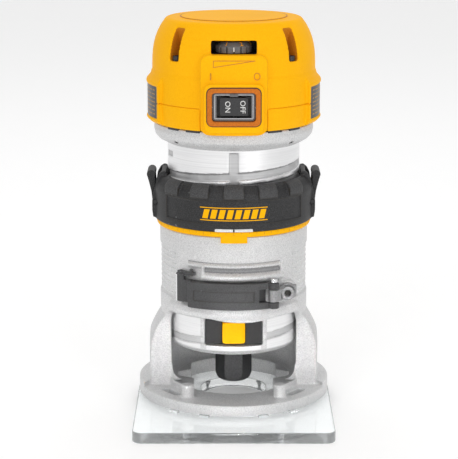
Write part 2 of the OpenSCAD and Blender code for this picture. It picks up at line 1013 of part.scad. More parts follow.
module dial_frame() {
  color([0.07, 0.07, 0.07])
    union() {
      difference() {
        intersection() {
          block([-13, -36.6, 188.6], [13, -18.5, 200]);
          translate([0, 0, 188])
            cylinder(r1 = 38.7, r2 = 35.6, h = 12.5);
        }
        block([-11.3, -60, 190.9], [11.3, -19.6, 197.85]);
      }
      translate([0, dial_y, 0])
        post(1.95, 190, 198.5);
    }
}

module speed_dial() {
  rib_count = 16;
  color([0.3, 0.3, 0.31])
    translate([0, dial_y, 0])
      difference() {
        union() {
          post(9.3, 191.4, 194.6);
          translate([0, 0, 194.59])
            cylinder(r1 = 9.3, r2 = 7, h = 2.3);
        }
        for (i = [0:rib_count - 1])
          rotate([0, 0, i * 360 / rib_count])
            block([-0.35, -12, 191], [0.35, -8.7, 198]);
        post(2, 190, 199);
      }
}

module speed_module() {
  color([0.1, 0.35, 0.2])
    union() {
      block([-24, -14, 176], [24, 20, 177.6]);
      block([-16, 4, 177.5], [2, 18, 184]);
      translate([12, 8, 177.5])
        cylinder(r = 5.5, h = 12);
      block([-20, -10, 177.5], [-8, -2, 181]);
    }
}

// ---- motor inside ----

module bearing_bridge() {
  color([0.3, 0.3, 0.32])
    difference() {
      union() {
        post(38.4, 147, 150);
        post(14.5, 142.4, 152.6);
      }
      post(11, 142.4 - past, 150.6);
      post(4.6, 142, 154);
      for (theta = [0, 90, 180, 270])
        rotate([0, 0, theta])
          ring_part(18, 30, 140, 154, -30, 30);
      at_cap_screws()
        post(2.9, 140, 154);
      for (theta = [0, 90, 180, 270])
        rotate([0, 0, theta])
          translate([0, -34.6, 0])
            post(1.6, 140, 154);
    }
}

module bridge_screws() {
  color(steel)
    for (theta = [0, 90, 180, 270])
      rotate([0, 0, theta])
        translate([0, -34.6, 0])
          union() {
            post(1.5, 146.6, 150.2);
            post(2.8, 150, 152);
          }
}

module stator_core() {
  color([0.5, 0.5, 0.52])
    translate([0, 0, 84])
      linear_extrude(38)
        difference() {
          union() {
            difference() {
              circle(r = 31.2);
              circle(r = 26.4);
            }
            intersection() {
              union() {
                square([60, 15], center = true);
                difference() {
                  square([46, 34], center = true);
                  circle(r = 20.4);
                }
              }
              circle(r = 27);
              union() {
                square([60, 15], center = true);
                circle(r = 21.4);
              }
            }
          }
          circle(r = 17.6);
        }
}

module stator_windings() {
  color(copper)
    both_sides()
      difference() {
        block([21.6, -15, 79.4], [25.8, 15, 126.6]);
        block([20, -7.6, 83.9], [28, 7.6, 122.1]);
        post(21.5, 70, 130);
        difference() {
          post(50, 70, 130);
          post(26.3, 60, 140);
        }
      }
}

module brush_holders() {
  color([0.75, 0.6, 0.3])
    both_sides()
      difference() {
        union() {
          block([12.2, -4.4, 130], [30.4, 4.4, 139.4]);
          block([20, -4.4, 139], [29, 4.4, 146.9]);
        }
        block([10, -2.9, 131.4], [29.4, 2.9, 138]);
        block([21.2, -6, 140.6], [27.8, 6, 145.6]);
      }
}

module carbon_brushes() {
  color([0.12, 0.12, 0.12])
    both_sides()
      block([10.7, -2.8, 131.5], [19.6, 2.8, 137.9]);
}

module brush_springs() {
  color(steel)
    both_sides()
      translate([19.65, 0, 134.7])
        rotate([0, 90, 0])
          coil(2, 0.35, 9.6, 6);
}

module lower_bearing() {
  balls = 9;
  color(bright)
    union() {
      ring(13.4, 16, 57.5, 66.5);
    }
  color(steel)
    for (i = [0:balls - 1])
      rotate([0, 0, i * 360 / balls])
        translate([11.7, 0, 62])
          sphere(r = 1.62);
}

module upper_bearing() {
  balls = 7;
  color(bright)
    ring(8.9, 11, 143.6, 150.6);
  color(steel)
    for (i = [0:balls - 1])
      rotate([0, 0, i * 360 / balls])
        translate([7.5, 0, 147.1])
          sphere(r = 1.32);
}

module inner_races() {
  color(bright)
    union() {
      ring(nose_r, 10, 57.5, 66.5);
      ring(top_journal_r, 6.1, 143.6, 150.6);
    }
}

module bearing_retainer() {
  color(steel)
    difference() {
      ring(12.6, 19.3, 66.55, 68);
      for (theta = [30, 150, 270])
        rotate([0, 0, theta])
          translate([0, -17.8, 0])
            post(0.9, 60, 70);
    }
}

module spindle() {
  color(steel)
    difference() {
      union() {
        post(nose_r - 0.5, 19, 33);
        post(nose_r, 32.9, 66.6);
        post(9.4, 66.55, 67.6);
        post(shaft_r, 67.5, 143.5);
        post(top_journal_r, 143.4, 151.4);
      }
      translate([0, 0, 18.9])
        cylinder(r1 = 6.1, r2 = 4.6, h = 15.1);
      post(3.3, 30, 42);
      for (turn = [0, 90])
        rotate([0, 0, turn])
          rod_y(0, 45.6, 2.3, -20, 20);
    }
}

module collet() {
  slit_w = 0.8;
  color(bright)
    difference() {
      union() {
        translate([0, 0, 19.05])
          cylinder(r1 = 6.03, r2 = 4.6, h = 14.45);
        post(5.6, 14.2, 19.1);
      }
      post(shank_d / 2, 10, 40);
      for (turn = [45, 135])
        rotate([0, 0, turn])
          block([-slit_w / 2, -10, 13], [slit_w / 2, 10, 28]);
    }
}

module collet_nut() {
  corner_r = nut_flats / 2 / cos(30);
  color([0.15, 0.15, 0.16])
    difference() {
      intersection() {
        rotate([0, 0, 0])
          translate([0, 0, 10.9])
            cylinder(r = corner_r, h = 22, $fn = 6);
        rotate_extrude()
          polygon([[0, 10.9], [7.2, 10.9], [8.8, 12], [9.9, 14.6], [9.9, 32.2], [9.2, 32.9], [0, 32.9]]);
      }
      post(4.4, 10, 40);
      post(5.7, 14.1, 40);
      post(nose_r - 0.45, 19, 40);
    }
}

module armature_core() {
  slots = 12;
  color([0.5, 0.5, 0.52])
    difference() {
      post(17, 84, 122);
      post(shaft_r, 80, 130);
      for (i = [0:slots - 1])
        rotate([0, 0, i * 360 / slots])
          block([-1.3, -20, 80], [1.3, -10.5, 130]);
    }
}

module armature_windings() {
  slots = 12;
  color(copper)
    difference() {
      union() {
        rotate_extrude()
          polygon([[6, 78.6], [13.5, 78.6], [16, 80.4], [16, 84], [6, 84]]);
        rotate_extrude()
          polygon([[6, 122], [15.6, 122], [15.6, 125], [13, 127], [6, 127]]);
        for (i = [0:slots - 1])
          rotate([0, 0, i * 360 / slots])
            block([-1.2, -15.6, 83], [1.2, -10.7, 123]);
      }
      post(shaft_r + 1, 70, 130);
    }
}

module commutator() {
  bars = 24;
  color(copper)
    difference() {
      post(10.5, 129.4, 140.6);
      post(shaft_r, 120, 150);
      for (i = [0:bars - 1])
        rotate([0, 0, i * 360 / bars])
          block([-0.25, -12, 128], [0.25, -9.6, 142]);
    }
}

module fan() {
  blades = 13;
  color([0.15, 0.15, 0.16])
    difference() {
      union() {
        post(28.4, 76, 77.2);
        post(8.6, 68.4, 77.2);
        for (i = [0:blades - 1])
          rotate([0, 0, i * 360 / blades])
            block([-0.6, -28, 69.6], [0.6, -8, 76.4]);
      }
      post(shaft_r, 60, 80);
    }
}

base_casting();
sub_base();
sub_base_screws();
guide_dowel();
ring_retainer();
catch_plate();
hinge_strap();
clamp_screw();
lever_pin();
clamp_lever();
scale_ring();
depth_ring();
scale_window();
tab_pins();
tab_springs();
release_tab_left();
release_tab_right();
guide_pin_left();
guide_pin_right();
motor_housing();
lower_cap();
upper_cap();
vent_grilles();
cap_screws();
label_plates();
cord_gland();
switch_bezel();
switch_body();
switch_rocker();
dial_frame();
speed_dial();
speed_module();
bearing_bridge();
bridge_screws();
stator_core();
stator_windings();
brush_holders();
carbon_brushes();
brush_springs();
upper_bearing();
lower_bearing();
bearing_retainer();
light_lenses();
lock_housing();
lock_spring();
lock_button();
spindle();
inner_races();
armature_core();
armature_windings();
commutator();
fan();
collet();
collet_nut();
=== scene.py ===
import json
import math
from collections import namedtuple

import bmesh
import bpy
import numpy as np
from mathutils import Euler, Matrix, Vector


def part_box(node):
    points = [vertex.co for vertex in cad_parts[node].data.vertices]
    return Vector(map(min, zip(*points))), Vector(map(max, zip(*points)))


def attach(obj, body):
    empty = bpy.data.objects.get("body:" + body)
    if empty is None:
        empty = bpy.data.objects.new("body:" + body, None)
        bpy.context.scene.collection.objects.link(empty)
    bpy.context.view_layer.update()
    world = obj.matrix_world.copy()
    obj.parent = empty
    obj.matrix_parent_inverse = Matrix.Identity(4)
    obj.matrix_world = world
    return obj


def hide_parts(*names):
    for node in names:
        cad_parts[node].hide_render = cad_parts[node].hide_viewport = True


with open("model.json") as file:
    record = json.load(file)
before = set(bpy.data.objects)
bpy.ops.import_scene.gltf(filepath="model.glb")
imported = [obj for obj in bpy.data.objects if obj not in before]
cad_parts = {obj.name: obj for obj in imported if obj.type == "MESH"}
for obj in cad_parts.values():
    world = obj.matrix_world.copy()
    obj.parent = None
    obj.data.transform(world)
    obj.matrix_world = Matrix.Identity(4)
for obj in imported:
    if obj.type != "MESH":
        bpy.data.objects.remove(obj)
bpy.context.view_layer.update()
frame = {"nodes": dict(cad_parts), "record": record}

NODES = frame["nodes"]
BODY_OF = {n: b for b, ns in frame["record"]["behaviour"]["bodies"].items() for n in ns}
MM = 0.001


# ---------------------------------------------------------------- materials

# Noise stays mostly between these two values; pointiness is above 0.5 on outward edges.
NOISE_LOW, NOISE_HIGH = 0.3, 0.7
# Edges lighten between these pointiness values, part as wear and part as painted highlight.
WEAR_AND_HIGHLIGHT_FROM, WEAR_AND_HIGHLIGHT_FULL = 0.53, 0.62
DRIFT_SCALE = 28.0


def link(tree, a, b):
    tree.links.new(a, b)


def surface(name, light, dark, speck=900.0, span=(0.35, 0.65), rough=(0.4, 0.5), metal=0.0,
            bump=0.15, bump_scale=None, depth=0.0001, stretch=(1, 1, 1), edge=None, cloud=0.05,
            specular=0.5):
    """A principled material: fine grain, slow colour drift, grain bump, edge wear and painted edge
    highlight.

    light and dark are the grain's colours, mixed over span; speck is its scale and stretch its shape.
    rough is the least and most roughness, cloud the drift's share, and depth the bump's in metres.
    edge is the colour of the lighter edges, part wear and part painted highlight, and how far it covers the
    grain.
    """
    mat = bpy.data.materials.new(name)
    mat.use_nodes = True
    tree = mat.node_tree
    shader = tree.nodes["Principled BSDF"]
    shader.inputs["Metallic"].default_value = metal
    shader.inputs["Specular IOR Level"].default_value = specular
    coords = tree.nodes.new("ShaderNodeTexCoord")
    mapping = tree.nodes.new("ShaderNodeMapping")
    mapping.inputs["Scale"].default_value = stretch
    link(tree, coords.outputs["Object"], mapping.inputs["Vector"])

    grain = tree.nodes.new("ShaderNodeTexNoise")
    grain.inputs["Scale"].default_value = speck
    grain.inputs["Detail"].default_value = 3.0
    grain.inputs["Roughness"].default_value = 0.65
    link(tree, mapping.outputs["Vector"], grain.inputs["Vector"])
    ramp = tree.nodes.new("ShaderNodeValToRGB")
    ramp.color_ramp.elements[0].position = span[0]
    ramp.color_ramp.elements[1].position = span[1]
    ramp.color_ramp.elements[0].color = (*dark, 1)
    ramp.color_ramp.elements[1].color = (*light, 1)
    link(tree, grain.outputs["Fac"], ramp.inputs["Fac"])
    colour = ramp.outputs["Color"]

    drift = tree.nodes.new("ShaderNodeTexNoise")
    drift.inputs["Scale"].default_value = DRIFT_SCALE
    drift.inputs["Detail"].default_value = 2.0
    link(tree, coords.outputs["Object"], drift.inputs["Vector"])
    level = tree.nodes.new("ShaderNodeMapRange")
    level.inputs["From Min"].default_value = NOISE_LOW
    level.inputs["From Max"].default_value = NOISE_HIGH
    level.inputs["To Min"].default_value = 1.0 - cloud
    level.inputs["To Max"].default_value = 1.0 + cloud
    link(tree, drift.outputs["Fac"], level.inputs["Value"])
    drifted = tree.nodes.new("ShaderNodeVectorMath")
    drifted.operation = "SCALE"
    link(tree, colour, drifted.inputs[0])
    link(tree, level.outputs["Result"], drifted.inputs["Scale"])
    colour = drifted.outputs["Vector"]

    # Lighter edges: part wear, part painted highlight.
    if edge:
        geometry = tree.nodes.new("ShaderNodeNewGeometry")
        wear_and_highlight = tree.nodes.new("ShaderNodeMapRange")
        wear_and_highlight.inputs["From Min"].default_value = WEAR_AND_HIGHLIGHT_FROM
        wear_and_highlight.inputs["From Max"].default_value = WEAR_AND_HIGHLIGHT_FULL
        wear_and_highlight.inputs["To Max"].default_value = edge[3]
        link(tree, geometry.outputs["Pointiness"], wear_and_highlight.inputs["Value"])
        mix = tree.nodes.new("ShaderNodeMix")
        mix.data_type = "RGBA"
        link(tree, wear_and_highlight.outputs["Result"], mix.inputs["Factor"])
        sockets = [s for s in mix.inputs if s.type == "RGBA"]
        link(tree, colour, sockets[0])
        sockets[1].default_value = (*edge[:3], 1)
        colour = [s for s in mix.outputs if s.type == "RGBA"][0]
    link(tree, colour, shader.inputs["Base Color"])

    gloss = tree.nodes.new("ShaderNodeMapRange")
    gloss.inputs["From Min"].default_value = NOISE_LOW
    gloss.inputs["From Max"].default_value = NOISE_HIGH
    gloss.inputs["To Min"].default_value = rough[0]
    gloss.inputs["To Max"].default_value = rough[1]
    link(tree, grain.outputs["Fac"], gloss.inputs["Value"])
    link(tree, gloss.outputs["Result"], shader.inputs["Roughness"])

    if bump > 0:
        relief = tree.nodes.new("ShaderNodeTexNoise")
        relief.inputs["Scale"].default_value = bump_scale or speck
        relief.inputs["Detail"].default_value = 2.0
        link(tree, mapping.outputs["Vector"], relief.inputs["Vector"])
        normal = tree.nodes.new("ShaderNodeBump")
        normal.inputs["Strength"].default_value = bump
        normal.inputs["Distance"].default_value = depth
        link(tree, relief.outputs["Fac"], normal.inputs["Height"])
        link(tree, normal.outputs["Normal"], shader.inputs["Normal"])
    return mat


def clear_plastic(name, tint, rough, ior=1.49, clear=0.13):
    """Glass-like plastic that lamps shine through, with a share of straight see-through."""
    mat = surface(name, tint, tuple(c * 0.985 for c in tint), speck=60.0, rough=(rough, rough + 0.015),
                  bump=0.04, bump_scale=90.0, depth=0.0002, cloud=0.0)
    shader = mat.node_tree.nodes["Principled BSDF"]
    shader.inputs["Transmission Weight"].default_value = 1.0
    shader.inputs["IOR"].default_value = ior
    tree = mat.node_tree
    through = tree.nodes.new("ShaderNodeBsdfTransparent")
    through.inputs["Color"].default_value = (*tint, 1)
    rays = tree.nodes.new("ShaderNodeLightPath")
    share = tree.nodes.new("ShaderNodeMath")
    share.operation = "MAXIMUM"
    share.inputs[1].default_value = clear
    link(tree, rays.outputs["Is Shadow Ray"], share.inputs[0])
    mix = tree.nodes.new("ShaderNodeMixShader")
    link(tree, share.outputs["Value"], mix.inputs["Fac"])
    link(tree, shader.outputs["BSDF"], mix.inputs[1])
    link(tree, through.outputs["BSDF"], mix.inputs[2])
    link(tree, mix.outputs["Shader"], tree.nodes["Material Output"].inputs["Surface"])
    return mat


# The palette: name, the grain's light colour and its dark colour.
YELLOW = surface("yellow_nylon", (1.0, 0.5, 0.006), (0.96, 0.45, 0.004), speck=1500, rough=(0.42, 0.52),
                 specular=0.04, bump=0.2, bump_scale=1800, depth=0.00008, cloud=0.025)
# Engraved marks, and the painted shadow line round the cap's raised disc.
YELLOW_MARK_AND_SHADE = surface("yellow_engraved_and_shade", (0.62, 0.24, 0.01), (0.5, 0.18, 0.006), speck=1500,
                      rough=(0.5, 0.6), bump=0.1)
BLACK = surface("black_nylon", (0.055, 0.055, 0.057), (0.012, 0.012, 0.0125), speck=2200,
                span=(0.42, 0.7), rough=(0.42, 0.6), bump=0.5, bump_scale=1700, depth=0.00015,
                edge=(0.2, 0.2, 0.205, 0.55), specular=0.35)
BLACK_FINE_AND_SHADE = surface("black_fine_plastic_and_shade", (0.035, 0.035, 0.037), (0.02, 0.02, 0.021), speck=2400,
                     rough=(0.38, 0.5), bump=0.25, bump_scale=2000, depth=0.00006)
GREY_PLASTIC = surface("grey_plastic", (0.16, 0.16, 0.165), (0.1, 0.1, 0.104), speck=1800,
                       rough=(0.35, 0.5), bump=0.15, bump_scale=1500, depth=0.00005)
CAST = surface("cast_aluminium", (0.74, 0.74, 0.74), (0.47, 0.47, 0.475), speck=1900,
               span=(0.3, 0.62), rough=(0.42, 0.58), metal=0.45, bump=0.45, bump_scale=1500,
               depth=0.00018, edge=(0.88, 0.88, 0.88, 0.45), cloud=0.035)
CAST_SHADE = surface("cast_in_shade", (0.36, 0.36, 0.365), (0.2, 0.2, 0.205), speck=1900,
                     span=(0.3, 0.62), rough=(0.5, 0.6), metal=0.3, bump=0.4, bump_scale=1500, depth=0.00015)
TURNED_AND_HIGHLIGHT = surface("turned_aluminium_and_highlight", (0.9, 0.9, 0.905), (0.78, 0.78, 0.785), speck=55,
                 rough=(0.3, 0.4), metal=0.85, bump=0.12, bump_scale=60, depth=0.00003,
                 stretch=(0.35, 0.35, 60.0), cloud=0.02)
STEEL_AND_HIGHLIGHT = surface("zinc_steel_and_highlight", (0.62, 0.62, 0.63), (0.5, 0.5, 0.51), speck=1200, rough=(0.25, 0.38),
                metal=1.0, bump=0.1, depth=0.00003)
BRIGHT = surface("ground_steel", (0.72, 0.72, 0.73), (0.6, 0.6, 0.61), speck=600, rough=(0.16, 0.26),
                 metal=1.0, bump=0.08, depth=0.00002, stretch=(1, 1, 12))
OXIDE = surface("black_oxide", (0.06, 0.06, 0.062), (0.025, 0.025, 0.026), speck=1600,
                rough=(0.32, 0.45), metal=0.5, bump=0.2, depth=0.00006,
                edge=(0.14, 0.14, 0.14, 0.5))
LEVER = surface("lever_paint", (0.08, 0.08, 0.082), (0.045, 0.045, 0.0465), speck=2000,
                rough=(0.4, 0.52), metal=0.2, bump=0.35, bump_scale=1700, depth=0.0001,
                edge=(0.3, 0.3, 0.31, 0.6), specular=0.35)
GROOVE = surface("groove_floor", (0.6, 0.6, 0.605), (0.5, 0.5, 0.505), speck=55, rough=(0.4, 0.5),
                 metal=0.6, bump=0.15, bump_scale=60, depth=0.00003, stretch=(0.35, 0.35, 60.0))
SCOOP_SHADE = surface("yellow_in_shade", (0.62, 0.22, 0.012), (0.5, 0.17, 0.01), speck=1500, rough=(0.5, 0.6),
                specular=0.1, bump=0.15, depth=0.00006)
COPPER_PLASTIC = surface("bezel_orange_brown", (0.62, 0.17, 0.012), (0.5, 0.13, 0.008), speck=1300,
                         rough=(0.4, 0.5), bump=0.15, depth=0.00005, specular=0.2)
RUBBER = surface("black_rubber", (0.03, 0.03, 0.031), (0.018, 0.018, 0.019), speck=1400,
                 rough=(0.6, 0.75), bump=0.3, depth=0.00008)
LABEL = surface("label_film", (0.035, 0.035, 0.037), (0.028, 0.028, 0.03), speck=900,
                rough=(0.28, 0.36), bump=0.05)
COPPER = surface("enamelled_copper", (0.72, 0.3, 0.12), (0.45, 0.16, 0.06), speck=160, rough=(0.25, 0.4),
                 metal=1.0, bump=0.5, bump_scale=180, depth=0.0003, stretch=(1, 1, 14))
LAMINATION = surface("stacked_sheet", (0.42, 0.42, 0.43), (0.2, 0.2, 0.21), speck=55, rough=(0.35, 0.5),
                     metal=1.0, bump=0.6, bump_scale=55, depth=0.0003, stretch=(0.4, 0.4, 26))
BRASS = surface("brass", (0.78, 0.56, 0.24), (0.66, 0.46, 0.18), speck=800, rough=(0.25, 0.36),
                metal=1.0, bump=0.1)
GRAPHITE = surface("graphite", (0.05, 0.05, 0.052), (0.025, 0.025, 0.026), speck=1800,
                   rough=(0.5, 0.62), bump=0.3)
BOARD = surface("circuit_board", (0.03, 0.22, 0.08), (0.02, 0.14, 0.05), speck=500, rough=(0.3, 0.42),
                bump=0.2)
PAD = surface("grip_rubber", (0.09, 0.09, 0.092), (0.035, 0.035, 0.036), speck=2000, span=(0.4, 0.7),
              rough=(0.5, 0.65), bump=0.4, bump_scale=1600, depth=0.00012,
              edge=(0.2, 0.2, 0.205, 0.5), specular=0.35)
STRAP = surface("brushed_strap", (0.36, 0.36, 0.365), (0.24, 0.24, 0.245), speck=1400,
                rough=(0.3, 0.42), metal=0.7, bump=0.2, depth=0.00005, edge=(0.6, 0.6, 0.6, 0.4))
WHITE_INK = surface("white_print", (0.82, 0.82, 0.8), (0.7, 0.7, 0.69), speck=1500, rough=(0.5, 0.6),
                    bump=0.05)
AMBER_INK = surface("amber_print", (0.95, 0.42, 0.03), (0.8, 0.32, 0.02), speck=1500,
                    rough=(0.5, 0.6), bump=0.05)
LABEL_INK = surface("label_print", (0.5, 0.3, 0.1), (0.36, 0.2, 0.06), speck=2600, span=(0.45, 0.6),
                    rough=(0.5, 0.6), bump=0.05)
DARK_INK_AND_SHADE = surface("dark_print_and_shade", (0.03, 0.025, 0.02), (0.02, 0.018, 0.015), speck=1500,
                   rough=(0.5, 0.6), bump=0.05)
WHITE_PLASTIC = surface("white_window", (0.8, 0.8, 0.8), (0.7, 0.7, 0.7), speck=700,
                        rough=(0.2, 0.3), bump=0.05)
ACRYLIC = clear_plastic("clear_acrylic", (0.955, 0.97, 0.972), 0.01)
LENS = clear_plastic("light_lens", (0.95, 0.95, 0.9), 0.12)


# ---------------------------------------------------------------- mesh tools

# Angles in degrees: for shading, for the edges that a bevel takes, and for faces merged as flat.
SMOOTH_ANGLE = 32
BEVEL_ANGLE = 28
FLAT_ANGLE = 0.4
BEVEL_SEGMENTS = 3


def add_object(name, mesh, material):
    """A new object in the scene with one material."""
    obj = bpy.data.objects.new(name, mesh)
    bpy.context.scene.collection.objects.link(obj)
    obj.data.materials.clear()
    obj.data.materials.append(material)
    return obj


def settle(obj):
    """Applies the modifiers of obj and leaves one plain mesh."""
    graph = bpy.context.evaluated_depsgraph_get()
    mesh = bpy.data.meshes.new_from_object(obj.evaluated_get(graph))
    old = obj.data
    obj.modifiers.clear()
    obj.data = mesh
    bpy.data.meshes.remove(old)
    return obj


def shade(obj, angle=None):
    """Smooth shading, with sharp edges past the angle if there is one."""
    for poly in obj.data.polygons:
        poly.use_smooth = True
    if angle is not None:
        obj.data.set_sharp_from_angle(angle=math.radians(angle))


def even_normals(obj, angle=SMOOTH_ANGLE):
    """Smooth shading that keeps flat faces flat between their bevels."""
    shade(obj, angle)
    even = obj.modifiers.new("even", "WEIGHTED_NORMAL")
    even.weight = 100
    even.keep_sharp = True
    return settle(obj)


def copy_of(node, name, material):
    """A welded, flat-shaded copy of a node's mesh."""
    mesh = NODES[node].data.copy()
    obj = add_object(name, mesh, material)
    work = bmesh.new()
    work.from_mesh(mesh)
    bmesh.ops.remove_doubles(work, verts=work.verts, dist=1e-6)
    for face in work.faces:
        face.material_index = 0
        face.smooth = False
    work.to_mesh(mesh)
    work.free()
    for attribute in ("custom_normal", "sharp_edge"):
        if attribute in mesh.attributes:
            mesh.attributes.remove(mesh.attributes[attribute])
    return obj


def place(obj, node):
    """Lets obj move with the node's body and stand in for the node."""
    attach(obj, BODY_OF[node])
    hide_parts(node)
    return obj


def rounded(node, material, voxel=0.5, smooth=3, keep=1.0, snap=()):
    """The CAD shape with every edge rounded over.

    voxel is in millimetres, smooth counts passes, keep is the share of faces kept, and snap holds true
    cylinders as (radius, low z, high z, reach).
    """
    obj = copy_of(node, "look_" + node, material)
    remesh = obj.modifiers.new("remesh", "REMESH")
    remesh.mode = "VOXEL"
    remesh.voxel_size = voxel * MM
    soft = obj.modifiers.new("soft", "SMOOTH")
    soft.factor = 0.5
    soft.iterations = smooth
    settle(obj)
    count = len(obj.data.vertices)
    co = np.empty(count * 3, np.float32)
    obj.data.vertices.foreach_get("co", co)
    co = co.reshape(-1, 3)
    radius = np.hypot(co[:, 0], co[:, 1])
    for target, low, high, reach in snap:
        near = (np.abs(radius - target * MM) < reach * MM) & (co[:, 2] > low * MM) & (co[:, 2] < high * MM)
        factor = np.where(near, target * MM / np.maximum(radius, 1e-9), 1.0)
        co[:, 0] *= factor
        co[:, 1] *= factor
    low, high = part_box(node)
    co = np.clip(co, np.array(low, np.float32), np.array(high, np.float32))
    obj.data.vertices.foreach_set("co", co.reshape(-1))
    if keep < 1.0:
        thin = obj.modifiers.new("thin", "DECIMATE")
        thin.ratio = keep
        settle(obj)
    obj.data.update()
    shade(obj)
    return place(obj, node)


def bevelled(node, material, width):
    """The CAD shape with a rounded bevel, width millimetres wide, on every sharp edge."""
    obj = copy_of(node, "look_" + node, material)
    work = bmesh.new()
    work.from_mesh(obj.data)
    bmesh.ops.dissolve_limit(work, angle_limit=math.radians(FLAT_ANGLE), verts=work.verts, edges=work.edges)
    work.to_mesh(obj.data)
    work.free()
    cut = obj.modifiers.new("bevel", "BEVEL")
    cut.width = width * MM
    cut.segments = BEVEL_SEGMENTS
    cut.limit_method = "ANGLE"
    cut.angle_limit = math.radians(BEVEL_ANGLE)
    cut.use_clamp_overlap = True
    cut.miter_outer = "MITER_ARC"
    settle(obj)
    even_normals(obj)
    return place(obj, node)


def new_mesh(name, verts, faces, material, body, smooth=True):
    """A new piece from points in millimetres, which rides a body and takes a slot's material."""
    mesh = bpy.data.meshes.new(name)
    mesh.from_pydata([tuple(c * MM for c in v) for v in verts], [], faces)
    mesh.validate()
    obj = add_object(name, mesh, material)
    if smooth:
        shade(obj, 35)
    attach(obj, body)
    return obj


def on_cylinder(r, theta, z):
    """A point on the tool's side; theta in degrees from the front towards +X."""
    a = math.radians(theta)
    return (r * math.sin(a), -r * math.cos(a), z)


class Batch:
    """Collects many small solids that become one object."""

    def __init__(self):
        self.verts = []
        self.faces = []

    def add(self, verts, faces):
        """Adds a solid whose faces count its own points from 0."""
        base = len(self.verts)
        self.verts += verts
        self.faces += [tuple(base + i for i in f) for f in faces]

    def patch(self, r, theta, z, steps=1):
        """A curved block on a cylinder, between two radii, two angles and two heights."""
        verts = []
        for i in range(steps + 1):
            a = theta[0] + (theta[1] - theta[0]) * i / steps
            for k, j in ((0, 0), (1, 0), (1, 1), (0, 1)):
                verts.append(on_cylinder(r[k], a, z[j]))
        faces = [(3, 2, 1, 0), tuple(4 * steps + k for k in range(4))]
        for i in range(steps):
            for k in range(4):
                a, b = 4 * i + k, 4 * i + (k + 1) % 4
                faces.append((a, b, b + 4, a + 4))
        self.add(verts, faces)

    def swept(self, profile, theta0, theta1, soft=0.35, steps=6):
        """A profile of (r, z) points swept over an arc, drawn in a little at both ends."""
        mid_z = sum(z for r, z in profile) / len(profile)
        stations = [(theta0, soft), (theta0 + soft * 0.4, soft * 0.3), (theta0 + soft * 1.3, 0.0)]
        stations += [(theta0 + (theta1 - theta0) * i / steps, 0.0) for i in range(1, steps)]
        stations += [(theta1 - soft * 1.3, 0.0), (theta1 - soft * 0.4, soft * 0.3), (theta1, soft)]
        verts, n = [], len(profile)
        for theta, inset in stations:
            for r, z in profile:
                verts.append(on_cylinder(r - inset, theta, z + (inset if z < mid_z else -inset)))
        faces = [tuple(range(n - 1, -1, -1)), tuple((len(stations) - 1) * n + k for k in range(n))]
        for i in range(len(stations) - 1):
            for k in range(n):
                a, b = i * n + k, i * n + (k + 1) % n
                faces.append((a, b, b + n, a + n))
        self.add(verts, faces)

    def bar(self, a, b, width, normal, depth):
        """A straight bar from a to b that stands depth proud along normal."""
        a, b, normal = Vector(a), Vector(b), Vector(normal).normalized()
        run = (b - a).normalized()
        side = run.cross(normal).normalized() * width / 2
        rise = normal * depth
        verts = [p + s * side + t * rise for p in (a, b) for s, t in ((-1, 0), (1, 0), (1, 1), (-1, 1))]
        faces = [(0, 1, 2, 3), (7, 6, 5, 4), (0, 4, 5, 1), (1, 5, 6, 2), (2, 6, 7, 3), (3, 7, 4, 0)]
        self.add([tuple(v) for v in verts], faces)

    def dome(self, r, theta, z, size, height, rings=3, sides=10):
        """A low round bump on the tool's side."""
        a = math.radians(theta)
        out = Vector((math.sin(a), -math.cos(a), 0))
        across = Vector((math.cos(a), math.sin(a), 0))
        centre = Vector(on_cylinder(r, theta, z))
        verts = []
        for i in range(rings):
            t = i / rings * math.pi / 2
            for k in range(sides):
                q = 2 * math.pi * k / sides
                p = centre + out * (height * math.sin(t))
                p = p + (across * math.cos(q) + Vector((0, 0, 1)) * math.sin(q)) * (size * math.cos(t))
                verts.append(tuple(p))
        verts.append(tuple(centre + out * height))
        faces = [tuple(reversed(range(sides)))]
        for i in range(rings - 1):
            for k in range(sides):
                a0, b0 = i * sides + k, i * sides + (k + 1) % sides
                faces.append((a0, b0, b0 + sides, a0 + sides))
        last = (rings - 1) * sides
        for k in range(sides):
            faces.append((last + k, last + (k + 1) % sides, rings * sides))
        self.add(verts, faces)

    def build(self, name, material, body, smooth=True):
        """Makes the object that holds everything collected."""
        return new_mesh(name, self.verts, self.faces, material, body, smooth)


def lettering(name, text, size, matrix, material, body, depth):
    """Plain generic figures as solid relief. matrix is in millimetres."""
    curve = bpy.data.curves.new(name, "FONT")
    curve.body = text
    curve.size = size
    curve.extrude = depth
    curve.align_x = "CENTER"
    curve.align_y = "CENTER"
    curve.resolution_u = 4
    maker = bpy.data.objects.new(name + "_curve", curve)
    bpy.context.scene.collection.objects.link(maker)
    bpy.context.view_layer.update()
    mesh = bpy.data.meshes.new_from_object(maker)
    bpy.data.objects.remove(maker)
    mesh.transform(Matrix.Scale(MM, 4) @ matrix)
    mesh.materials.clear()
    obj = add_object(name, mesh, material)
    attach(obj, body)
    return obj


# ---------------------------------------------------------------- the shells and castings

# Radii of true cylinders, in millimetres: radius, lowest and highest z, and how far off a vertex may be.
BARREL = (34.5, 36.2, 141.2, 0.14)

